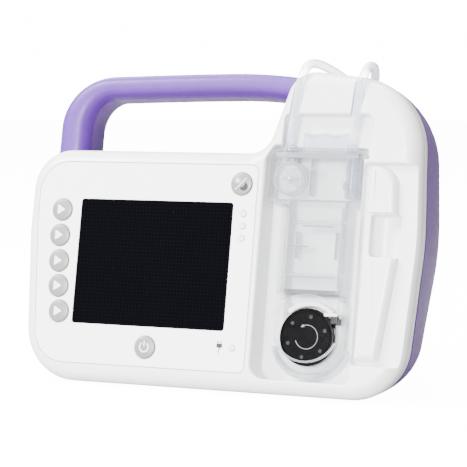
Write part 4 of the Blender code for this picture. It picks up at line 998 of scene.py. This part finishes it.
def screen():
    glass = slab("screen_glass", window_corners(0.1), -WALL, -0.05, front=0.15, turns=3)
    finish(glass, GLASS, slot="black_window", replaces=("display_window",))


def key(name, spot):
    """A domed key with its flange."""
    back = -WALL - GAP - 0.7
    profile = [(0.0, back), (KEY_RADIUS + 0.55, back), (KEY_RADIUS + 0.55, back + 0.7),
               (KEY_RADIUS, back + 0.7)]
    profile += [(KEY_RADIUS, 0.1)]
    for i in range(1, 13):
        angle = math.pi / 2 * i / 12
        radius = KEY_RADIUS * math.cos(angle)
        profile.append((max(radius, 0.0), dome(radius)))
    body = turned(f"{name}_cap", profile, spot)
    return finish(body, KEY_RUBBER, body=name, slot="grey_keys", replaces=(name,), sharp=50)


def icon(name, key_name, spot, shapes, look=KEY_PRINT, top=1.17):
    """A thin printed shape standing a little proud of a key's dome, from outlines about its middle."""
    for i, points in enumerate(shapes):
        placed = [(spot[0] + p[0], spot[1] + p[1]) for p in points]
        mark = prism(f"{name}_{i + 1}" if len(shapes) > 1 else name, placed, 0.55, top)
        finish(mark, look, body=key_name, slot="grey_keys")


def arc_shape(radius, thick, first, last, centre=(0.0, 0.0), steps=20):
    angles = [first + (last - first) * i / steps for i in range(steps + 1)]
    return [around(centre, radius + thick / 2, a) for a in angles] + [
        around(centre, radius - thick / 2, a) for a in reversed(angles)
    ]


def keys():
    for i, spot in enumerate(SOFT_KEYS):
        name = f"soft_key_{i + 1}"
        key(name, spot)
        triangle = outline([(-1.95, -2.55, 0.35), (2.4, 0.0, 0.35), (-1.95, 2.55, 0.35)], steps=8)
        icon(f"{name}_arrow", name, spot, [[(p.x - 0.2, p.y) for p in triangle]])
    key("power_key", POWER_KEY)
    ring = arc_shape(2.3, 0.62, 125, 415)
    bar = outline(rectangle(0.62, 2.5, 0.25, (0.0, 1.75)), steps=6)
    icon("power_mark", "power_key", POWER_KEY, [ring, [(p.x, p.y) for p in bar]])
    key("backlight_key", BACKLIGHT_KEY)
    slash = [(-3.0, -2.75), (-2.75, -3.0), (3.0, 2.75), (2.75, 3.0)]
    icon("backlight_slash", "backlight_key", BACKLIGHT_KEY, [slash])
    sun = [[(p.x, p.y) for p in circle((-1.7, 1.5), 0.72, 24)]]
    for i in range(8):
        a, b = around((-1.7, 1.5), 1.05, 45 * i), around((-1.7, 1.5), 1.6, 45 * i)
        side = Vector((b[1] - a[1], a[0] - b[0])).normalized() * 0.13
        sun.append([(a[0] + side.x, a[1] + side.y), (b[0] + side.x, b[1] + side.y),
                    (b[0] - side.x, b[1] - side.y), (a[0] - side.x, a[1] - side.y)])
    icon("backlight_sun", "backlight_key", BACKLIGHT_KEY, sun)
    moon_at = (1.45, -1.25)
    outer = [Vector(around(moon_at, 2.05, -165 + 240 * i / 24)) for i in range(25)]
    bend = Vector(around(moon_at, 0.6, -45))
    inner = [outer[-1] * (1 - t) ** 2 + bend * 2 * t * (1 - t) + outer[0] * t**2
             for t in [i / 12 for i in range(1, 12)]]
    icon("backlight_moon", "backlight_key", BACKLIGHT_KEY, [outer + inner], KEY_DARK, 1.2)


def light(name, spot, look, slot="light_lens"):
    profile = [(0.0, -2.0), (LIGHT_RADIUS, -2.0), (LIGHT_RADIUS, 0.0)]
    profile += [(LIGHT_RADIUS * math.cos(a), 0.32 * math.sin(a))
                for a in [math.pi / 2 * i / 6 for i in range(1, 6)]]
    profile.append((0.0, 0.32))
    return finish(turned(name, profile, spot, 32), look, slot=slot)


def lights_and_marks():
    for i, spot in enumerate(STATUS):
        light(f"status_dome_{i + 1}", spot, OVERLAY_FILM)
    light("mains_dome", MAINS_LIGHT, LIGHT_LENS)
    u, v = 39.3, -38.2
    plug = outline([(u - 1.2, v - 0.4, 0.5), (u + 1.2, v - 0.4, 0.5), (u + 1.2, v + 1.2, 0.2),
                    (u - 1.2, v + 1.2, 0.2)], steps=6)
    marks = [plug]
    marks += [outline(rectangle(0.38, 1.2, 0.1, (u + side, v + 1.7)), steps=6) for side in (-0.6, 0.6)]
    cord = [(u, v - 0.4), (u + 0.05, v - 1.2), (u - 0.35, v - 1.8), (u + 0.15, v - 2.4)]
    half = 0.19
    marks.append([Vector((x - half, y)) for x, y in cord] + [Vector((x + half, y)) for x,
                                                             y in reversed(cord)])
    for i, points in enumerate(marks):
        grown = [(u + (p.x - u) * 1.25, v + (p.y - v) * 1.25) for p in points]
        finish(prism(f"plug_mark_{i + 1}", grown, -0.3, 0.04), ICON_INK, slot="printed_overlay")


faceplate()
screen()
keys()
lights_and_marks()


# --- rotor --------------------------------------------------------------------------------------


def rotor():
    pins = [around(ROTOR, PIN_CIRCLE, 20 + 60 * i) for i in range(6)]
    back = ROTOR_FRONT - 1.6
    profile = [(0.0, back), (ROTOR_RADIUS - 0.25, back), (ROTOR_RADIUS, back + 0.25),
               (ROTOR_RADIUS, ROTOR_FRONT - 0.4)]
    profile += [(ROTOR_RADIUS - 0.12, ROTOR_FRONT - 0.12), (ROTOR_RADIUS - 0.4, ROTOR_FRONT)]
    profile += [(12.4, ROTOR_FRONT), (12.25, ROTOR_FRONT - 0.15), (12.0, ROTOR_FRONT - 0.15),
                (11.85, ROTOR_FRONT)]
    profile.append((0.0, ROTOR_FRONT))
    plate = turned("rotor_disc", profile, ROTOR, 96)
    combine(plate, [rod(f"disc_hole_{i}", spot, PIN_CAP + 0.1, -10.0, 0.0, 24) for i,
                    spot in enumerate(pins)])
    finish(plate, BLACK, body="rotor", slot="black_plastic", replaces=("rotor_front_plate",))
    for i, spot in enumerate(pins):
        cap = rod(f"rotor_pin_{i + 1}", spot, PIN_CAP, ROTOR_FRONT - 1.2, ROTOR_FRONT + 0.2, 24, 0.2)
        finish(cap, PIN_GREY, body="rotor", slot="black_plastic")
    sweep_arc = arc_shape(5.6, 0.3, 200, 470, ROTOR, 40)
    mark = prism("rotor_turn_mark", sweep_arc, ROTOR_FRONT - 0.3, ROTOR_FRONT + 0.05)
    finish(mark, PIN_GREY, body="rotor", slot="black_plastic")
    tip = Vector(around(ROTOR, 5.6, 490))
    way = (tip - Vector(around(ROTOR, 5.6, 470))).normalized()
    side = Vector((-way.y, way.x))
    foot = Vector(around(ROTOR, 5.6, 468))
    head = [foot + side * 0.8, foot - side * 0.8, foot + way * 1.6]
    finish(prism("rotor_turn_tip", head, ROTOR_FRONT - 0.3, ROTOR_FRONT + 0.05), PIN_GREY, body="rotor",
           slot="black_plastic")
    low, high = -BAY_DEPTH + GAP, ROTOR_FRONT - 2.6
    inner = ROTOR_RADIUS + 1.0
    angles = [47 + 86 * i / 40 for i in range(41)]
    rings = []
    for drawn, w in ((0.0, low), (0.0, high - 0.6), (0.18, high - 0.18), (0.6, high)):
        outer_side = [around(ROTOR, inner + 2.4 - drawn, a) for a in angles]
        inner_side = [around(ROTOR, inner + drawn, a) for a in reversed(angles)]
        rings.append(level(outer_side + inner_side, w))
    finish(loft("raceway_arc", rings), WHITE, replaces=("raceway_collar",))
    block = box("tube_sensor", (93.6, -24.6, -12.0), (97.4, -20.0, -1.8), 0.5)
    finish(block, BLACK_SATIN, slot="black_plastic")
    strip = box("tube_sensor_strip", (90.4, -21.0, -4.0), (97.0, -19.4, -1.55), 0.3)
    finish(strip, PIN_WHITE, slot="white_shell")


rotor()


# --- cassette -----------------------------------------------------------------------------------


def cassette_corners():
    left, right = ROTOR[0] - BODY_HALF, ROTOR[0] + BODY_HALF
    return [
        (left, BODY_BOTTOM, 1.5), (right, BODY_BOTTOM, 1.5), (right, HEAD_BOTTOM, 2.0),
        (HEAD_RIGHT, HEAD_BOTTOM, 2.5), (HEAD_RIGHT, HEAD_TOP, 3.0), (HEAD_LEFT, HEAD_TOP, 6.0),
        (HEAD_LEFT, HEAD_BOTTOM, 2.5), (left, HEAD_BOTTOM, 2.0),
    ]


def hollow_ring(name, centre, inner, outer, low, high, soft=0.3, sides=72):
    """A ring about w with its front edges rounded."""
    rings = []
    for drawn, w in ((0.0, low), (0.0, high - soft), (soft * 0.3, high - soft * 0.3), (soft, high)):
        rings.append((outer - drawn, inner + drawn, w))
    bm = bmesh.new()
    path = [(o, w) for o, _, w in rings] + [(i, w) for _, i, w in reversed(rings)]
    rows = [[bm.verts.new(Vector((p.x, p.y, w)) * MM) for p in circle(centre, r, sides)] for r, w in path]
    for first, second in zip(rows, rows[1:] + rows[:1]):
        for i in range(sides):
            j = (i + 1) % sides
            bm.faces.new((first[i], first[j], second[j], second[i]))
    return mesh_object(name, bm)


def arc_bar(name, centre, radius, half, first, last, low, high, soft=0.3, steps=48):
    """A bar bent along an arc, with its front edges rounded."""
    angles = [first + (last - first) * i / steps for i in range(steps + 1)]
    rings = []
    for drawn, w in ((0.0, low), (0.0, high - soft), (soft * 0.3, high - soft * 0.3), (soft, high)):
        outer_side = [around(centre, radius + half - drawn, a) for a in angles]
        inner_side = [around(centre, radius - half + drawn, a) for a in reversed(angles)]
        rings.append(level(outer_side + inner_side, w))
    return loft(name, rings)


def cassette_cover():
    corners = cassette_corners()
    cover = slab("cassette_shell", corners, COVER_BACK + 1.2, COVER_FRONT, front=1.1, turns=6)
    inner = COVER_FRONT - COVER_WALL
    hollow = [level(outline(corners, COVER_WALL, 8), w) for w in (-20.0, inner - 0.8)]
    hollow.append(level(outline(corners, COVER_WALL + 0.25, 8), inner - 0.25))
    hollow.append(level(outline(corners, COVER_WALL + 0.8, 8), inner))
    combine(cover, loft("cover_hollow", hollow))
    centre = (ROTOR[0], ROTOR[1] + 5.0)
    edge = [around(centre, 17.0, 205 + 130 * i / 32) for i in range(33)]
    apron = [(ROTOR[0] + 15.4, BODY_BOTTOM + 3), (ROTOR[0] - 15.4, BODY_BOTTOM + 3)] + edge
    glaze(prism("rotor_apron", apron, inner + 0.2, COVER_FRONT - 0.1), APRON)
    combine(cover, rod("valve_boss", VALVE, VALVE_RADIUS + 2.0, inner - 1.5, -0.4, 64, 0.5), "UNION")
    combine(cover, rod("valve_bore", VALVE, VALVE_RADIUS + GAP, -30.0, 5.0, 64))
    glaze(cover, CLEAR, replaces=("cassette_cover",))
    tab = []
    low, high = HEAD_TOP - 1.0, HEAD_TOP + 8.0
    for i in range(25):
        share = i / 24
        tab.append((73.0 + 22.0 * share, high - 0.7 * (1 - math.cos(share * math.tau * 2)) / 2))
    tab = [(73.0, low)] + [(95.0, low)] + list(reversed(tab))
    glaze(prism("finger_tab", tab, -5.6, -3.6), CLEAR_BLUE)
    tab_bar = [(73.4 + 21.2 * i / 24, high - 0.9 - 0.7 * (1 - math.cos(i / 24 * math.tau * 2)) / 2, -3.4)
               for i in range(25)]
    glaze(sweep("finger_tab_edge", tab_bar, 0.5, 12), CLEAR_BLUE)
    for name, spot in (("feed", FEED_EXIT), ("patient", PATIENT_EXIT)):
        foot = (spot[0], HEAD_TOP - 1.0, spot[2])
        top = spot[1] - GAP - foot[1]
        profile = [(0.0, 0.0), (3.1, 0.0), (3.1, 1.6), (2.7, 2.0), (2.7, top - 0.4), (2.4, top), (0.0, top)]
        glaze(upright(f"{name}_ferrule", foot, profile), CLEAR_BLUE)


def cover_details():
    """Ribs, bars and rims that stand on the clear cover."""
    front = COVER_FRONT
    bars = [
        ("head_top_bar", (60.5, 53.4, front - 1.0), (101.5, 55.6, front + 0.5)),
        ("head_low_bar", (58.4, 32.4, front - 1.0), (102.6, 33.4, front + 0.25)),
        ("side_bar_left", (66.6, -10.5, front - 1.0), (67.8, 30.0, front + 0.35)),
        ("side_bar_right", (95.6, -10.5, front - 1.0), (96.8, 30.0, front + 0.35)),
        ("middle_rib", (76.5, 20.6, front - 1.0), (92.0, 21.4, front + 0.3)),
        ("upper_rib", (69.5, 11.0, front - 1.0), (80.0, 11.7, front + 0.3)),
        ("lower_rib", (69.5, -3.2, front - 1.0), (94.0, -2.6, front + 0.25)),
    ]
    for name, low, high in bars:
        glaze(box(name, low, high, 0.3), CLEAR_RIB)
    glaze(hollow_ring("valve_rim", VALVE, VALVE_RADIUS + 0.6, VALVE_RADIUS + 1.8, front, 0.0), CLEAR_RIB)
    centre = (ROTOR[0], ROTOR[1] + 5.0)
    glaze(arc_bar("apron_edge", centre, 16.7, 0.45, 206, 334, front - 1.2, front + 0.35), CLEAR_RIB)
    glaze(arc_bar("rotor_arch", ROTOR, 19.6, 0.5, 28, 152, front - 1.0, front + 0.3), CLEAR_RIB)
    post = rod("head_pin", (79.5, 47.6), 1.0, front - 1.0, front + 0.6, 24, 0.3)
    glaze(post, CLEAR_BLUE)


def cassette_base():
    floor = COVER_BACK - 0.4
    base = slab("cassette_tray", [(u, v, r) for u, v, r in cassette_corners()], floor, floor + 1.2,
                front=0.3)
    combine(base, rod("tray_stem_hole", VALVE, 2.4, -30.0, 0.0))
    inset = COVER_WALL + 0.8
    left, right = ROTOR[0] - BODY_HALF + inset, ROTOR[0] + BODY_HALF - inset
    ribs = [
        ((left, BODY_BOTTOM + inset, floor + 0.6), (left + 1.2, 34.0, -6.0)),
        ((right - 1.2, BODY_BOTTOM + inset, floor + 0.6), (right, 34.0, -6.0)),
        ((left + 0.4, -2.0, floor + 0.6), (right - 0.4, -0.8, -7.0)),
        ((left + 0.4, 23.0, floor + 0.6), (right - 0.4, 24.2, -7.0)),
        ((71.0, 6.0, floor + 0.6), (72.0, 19.0, -7.5)),
        ((91.0, 6.0, floor + 0.6), (92.0, 19.0, -7.5)),
        ((76.0, 36.0, floor + 0.6), (77.0, 54.0, -7.5)),
    ]
    for i, (low, high) in enumerate(ribs):
        combine(base, box(f"tray_rib_{i}", low, high, 0.3), "UNION")
    for side in (-1, 1):
        u = ROTOR[0] + side * TUBE_OFFSET
        port = BODY_BOTTOM - 2.0
        combine(base, box("tray_tie", (u - 1.2, port + 0.6, floor + 0.1),
                          (u + 1.2, BODY_BOTTOM + 2, floor + 1.1)), "UNION")
        combine(base, box("tray_riser", (u - 1.4, port + 0.5, floor), (u + 1.4, BODY_BOTTOM - GAP, TUBE_W)),
                "UNION")
    glaze(base, CLEAR_RIB, replaces=("cassette_base",))
    for side in (-1, 1):
        u = ROTOR[0] + side * TUBE_OFFSET
        spigot = [(0.0, 0.0), (1.9, 0.0), (1.9, 1.4), (0.0, 1.4)]
        glaze(upright(f"tube_spigot_{side + 2}", (u, BODY_BOTTOM - 2.0, TUBE_W), spigot), CLEAR_BLUE)
    foot = (PATIENT_EXIT[0], HEAD_BOTTOM + 4.0, -8.6)
    profile = [(0.0, 0.0), (3.2, 0.0), (3.6, 0.5), (3.6, 4.0), (4.6, 4.4), (4.6, 7.6), (3.6, 8.0),
               (3.6, 13.0), (4.0, 13.3)]
    profile += [(4.0, 15.0), (3.6, 15.3), (3.6, 19.6), (3.1, 20.0), (0.0, 20.0)]
    glaze(upright("outlet_fitting", foot, profile), CLEAR_BLUE)
    foot = (FEED_EXIT[0], HEAD_BOTTOM + 21.0, -7.6)
    profile = [(0.0, 0.0), (2.4, 0.0), (2.8, 0.4), (2.8, 4.6), (2.4, 5.0), (0.0, 5.0)]
    glaze(upright("inlet_channel", foot, profile), CLEAR_BLUE)


def valve():
    top = -0.6
    profile = [(0.0, -BAY_DEPTH + 0.1), (2.0, -BAY_DEPTH + 0.1), (2.0, -3.8), (VALVE_RADIUS, -3.4),
               (VALVE_RADIUS, top - 0.4)]
    profile += [(VALVE_RADIUS - 0.12, top - 0.12), (VALVE_RADIUS - 0.4, top), (5.0, top), (4.8, top - 0.7),
                (4.0, top - 0.7)]
    profile += [(3.8, top - 0.1), (1.3, top - 0.1), (1.1, top - 0.6), (0.7, top - 0.6), (0.5, top),
                (0.0, top)]
    glaze(turned("valve_knob", profile, VALVE, 72), CLEAR_RIB, body="valve", replaces=("valve_plug",))
    bar = slab("valve_bar", rectangle(7.0, 1.5, 0.7, VALVE), top - 0.6, top + 0.25, front=0.3)
    glaze(bar, CLEAR_BLUE, body="valve")
    glaze(rod("valve_centre", VALVE, 0.6, top, top + 0.4, 24, 0.2), PIN_WHITE, body="valve")


def pump_tube():
    port = BODY_BOTTOM - 2.0 - GAP
    left = [(ROTOR[0] - TUBE_OFFSET, port + (ROTOR[1] - port) * i / 8, TUBE_W) for i in range(8)]
    low = [(*around(ROTOR, TUBE_OFFSET, 180 + 180 * i / 36), TUBE_W) for i in range(37)]
    right = [(ROTOR[0] + TUBE_OFFSET, v, w) for _, v, w in reversed(left)]
    finish(sweep("pump_loop", left + low + right, PUMP_TUBE_RADIUS, 24), SILICONE, slot="silicone_tube",
           replaces=("pump_tube",))
    guide = arc_bar("loop_guide", ROTOR, 18.2, 0.5, 196, 344, -13.6, -5.0)
    glaze(guide, CLEAR_RIB)
    guide = arc_bar("loop_guide_outer", ROTOR, 20.0, 0.4, 200, 340, -13.6, -8.0)
    glaze(guide, CLEAR_RIB)


cassette_cover()
cover_details()
cassette_base()
valve()
pump_tube()


# --- back and underside -------------------------------------------------------------------------


def screw(name, centre, face, length):
    """A pan-head screw with a cross recess; its head stands on w = face and points back."""
    head = [(0.0, face + length), (SCREW_RADIUS, face + length), (SCREW_RADIUS, face + 0.05),
            (SCREW_HEAD, face + 0.05)]
    head.append((SCREW_HEAD, face - 0.5))
    for i in range(1, 7):
        angle = math.pi / 2 * i / 6
        head.append((SCREW_HEAD * (0.35 + 0.65 * math.cos(angle)), face - 0.5 - 1.2 * math.sin(angle)))
    head.append((0.0, face - 1.7))
    body = turned(f"{name}_fine", head, centre, 40)
    for wide, tall in ((3.2, 0.7), (0.7, 3.2)):
        cross = prism("recess", outline(rectangle(wide, tall, 0.2, centre), steps=6), face - 3.0,
                      face - 0.7)
        combine(body, cross)
    return finish(body, STEEL, slot="steel", replaces=(name,))


def back_pieces():
    back = -DEPTH
    for i, spot in enumerate(HOUSING_SCREWS):
        screw(f"housing_screw_{i + 1}", spot, back + SCREW_SINK - GAP, 12.0)
    wide, tall, thick = CLAMP_SIZE
    u, v = CLAMP_PLACE
    near, far = back - GAP, back - GAP - thick
    plate = slab("clamp_plate", rectangle(wide, tall, 4.0, CLAMP_PLACE), far, near, front=0.2, back=0.9,
                 steps=12, turns=5)
    holes = [(u - 15.0, v), (u + 15.0, v)]
    for i, spot in enumerate(holes):
        combine(plate, rod(f"plate_bore_{i}", spot, SCREW_RADIUS + 0.2, back - 20, 0.0, 24))
        combine(plate, rod(f"plate_seat_{i}", spot, SCREW_HEAD + 0.4, back - 20, far + 2.2, 32))
        screw(f"clamp_screw_{i + 1}", spot, far + 2.2 - 0.3, 9.0)
    finish(plate, PURPLE, slot="purple_shell", replaces=("pole_clamp_plate",))
    door = slab("battery_lid", rectangle(*DOOR_SIZE, 3.0, DOOR_PLACE), back, back + DOOR_THICK, back=0.35,
                steps=10, turns=3)
    hole = (DOOR_PLACE[0], DOOR_PLACE[1] + DOOR_SIZE[1] / 2 - 7.0)
    for i in range(6):
        spot = (DOOR_PLACE[0], DOOR_PLACE[1] - 14.0 + 3.0 * i)
        groove_cut = slab(f"lid_groove_{i}", rectangle(34.0, 1.2, 0.5, spot), back - 2, back + 0.45,
                          steps=6)
        combine(door, groove_cut)
    combine(door, rod("lid_bore", hole, SCREW_RADIUS + 0.2, back - 3, 0.0, 24))
    finish(door, PURPLE, slot="purple_shell", replaces=("battery_door",))
    screw("battery_door_screw", hole, back - GAP, 5.0)
    inlet = rod("inlet_barrel", INLET, 5.5, back - 0.6, back + 8.0, 48)
    combine(inlet, rod("inlet_bore", INLET, 3.2, back - 3, back + 6.5, 40))
    combine(inlet, rod("inlet_pin", INLET, 0.9, back + 0.6, back + 7.0, 24), "UNION")
    finish(inlet, BLACK_SATIN, slot="black_plastic", replaces=("power_inlet",))
    u, v = PORT
    wide, tall = PORT_SIZE[0] + 5.0, PORT_SIZE[1] + 5.0
    flap = slab("port_flap", rectangle(wide, tall, 2.0, PORT), back - GAP - 1.6, back - GAP, back=0.5,
                front=0.1, turns=4)
    lip = slab("port_lip", rectangle(6.0, 1.2, 0.5, (u, v + tall / 2 - 1.4)), back - GAP - 2.1,
               back - GAP - 1.0, back=0.3)
    combine(flap, lip, "UNION")
    plug = prism("port_stopper", outline(rectangle(PORT_SIZE[0] - 1.0, PORT_SIZE[1] - 2.4, 1.0, PORT)),
                 back - 1.0, back + 1.2)
    combine(flap, plug, "UNION")
    finish(flap, RUBBER, body="port_cover", slot="dark_rubber", replaces=("service_port_cover",))


def feet():
    for i, (u, depth) in enumerate(FEET):
        spot = FACE @ (Vector((u, base_v(depth), -depth)) * MM)
        stand = Matrix.Translation((spot.x, spot.y, 0.0))
        profile = [(0.0, 0.0), (4.0, 0.0), (4.2, 0.25), (4.5, 0.25), (4.7, 0.0), (5.5, 0.0), (5.85, 0.15),
                   (6.0, 0.5)]
        profile += [(6.0, FOOT_DEEP - GAP), (0.0, FOOT_DEEP - GAP)]
        foot = turned(f"foot_pad_{i + 1}", profile, sides=48, frame_matrix=stand)
        finish(foot, RUBBER, slot="dark_rubber", replaces=(f"rubber_foot_{i + 1}",))


back_pieces()
feet()


# --- carried-over pieces and stage --------------------------------------------------------------

SLOT_LOOKS = {
    "white_shell": WHITE, "purple_shell": PURPLE, "lavender_grip": LAVENDER, "printed_overlay": OVERLAY_FILM,
    "black_window": GLASS, "metal_module": ALUMINIUM, "battery_cells": CELLS, "circuit_board": BOARD,
    "light_lens": LIGHT_LENS, "dark_rubber": RUBBER, "black_plastic": BLACK_SATIN, "steel": STEEL,
    "grey_keys": KEY_RUBBER, "clear_plastic": CLEAR, "clear_tube": TUBING, "silicone_tube": SILICONE,
    "purple_fitting": FITTING,
}


def carried_over():
    """The frame's own pieces that still show, or sit inside, get the same finishes."""
    for part in frame["record"]["subparts"]:
        obj = frame["nodes"][part["node"]]
        if obj.hide_render:
            continue
        look = SLOT_LOOKS[part["material_slot"]]
        if obj.data.materials:
            for i in range(len(obj.data.materials)):
                obj.data.materials[i] = look
        else:
            obj.data.materials.append(look)


def stage():
    """A white sweep under and behind the pump."""
    bm = bmesh.new()
    bmesh.ops.create_circle(bm, cap_ends=True, radius=6.0, segments=96)
    mesh = bpy.data.meshes.new("floor")
    bm.to_mesh(mesh)
    bm.free()
    floor = bpy.data.objects.new("floor", mesh)
    floor.location = (0.0, 0.0, -0.0002)
    bpy.context.scene.collection.objects.link(floor)
    made, tree, shader = nodes_of("studio_white")
    tree.links.new(
        blend_colours(tree, between(tree, noise(tree, 900.0), 0.0, 1.0), (0.40, 0.40, 0.40),
                      (0.42, 0.42, 0.42)),
        shader.inputs["Base Color"],
    )
    shader.inputs["Roughness"].default_value = 0.9
    shader.inputs["Specular IOR Level"].default_value = 0.1
    shader.inputs["Emission Color"].default_value = (1.0, 1.0, 1.0, 1.0)
    ray = tree.nodes.new("ShaderNodeLightPath")
    glow = between(tree, ray.outputs["Is Camera Ray"], 0.0, 14.0, 0.0, 1.0)
    tree.links.new(glow, shader.inputs["Emission Strength"])
    floor.data.materials.append(made)


def area(name, spot, size, power, colour=(1.0, 1.0, 1.0)):
    data = bpy.data.lights.new(name, "AREA")
    data.shape = "RECTANGLE"
    data.size, data.size_y = size
    data.energy = power
    data.color = colour
    obj = bpy.data.objects.new(name, data)
    obj.location = spot
    aim = Vector((0.01, 0.0, 0.07)) - Vector(spot)
    obj.rotation_euler = aim.to_track_quat("-Z", "Y").to_euler()
    bpy.context.scene.collection.objects.link(obj)


def lights():
    world = bpy.data.worlds.new("studio")
    bpy.context.scene.world = world
    world.use_nodes = True
    tree = world.node_tree
    ground = tree.nodes["Background"]
    ground.inputs["Color"].default_value = (1.0, 1.0, 1.0, 1.0)
    ray = tree.nodes.new("ShaderNodeLightPath")
    strength = tree.nodes.new("ShaderNodeMapRange")
    strength.inputs["To Min"].default_value = 0.55
    strength.inputs["To Max"].default_value = 16.0
    tree.links.new(ray.outputs["Is Camera Ray"], strength.inputs["Value"])
    tree.links.new(strength.outputs["Result"], ground.inputs["Strength"])
    area("key", (-1.05, -0.75, 1.25), (0.6, 0.6), 110.0)
    area("fill", (0.05, -1.85, 0.50), (0.7, 0.5), 110.0)
    area("top", (-0.1, 0.1, 1.5), (0.8, 0.6), 40.0)
    area("rim", (-0.9, 0.9, 1.1), (0.8, 0.7), 16.0)


carried_over()
stage()
lights()
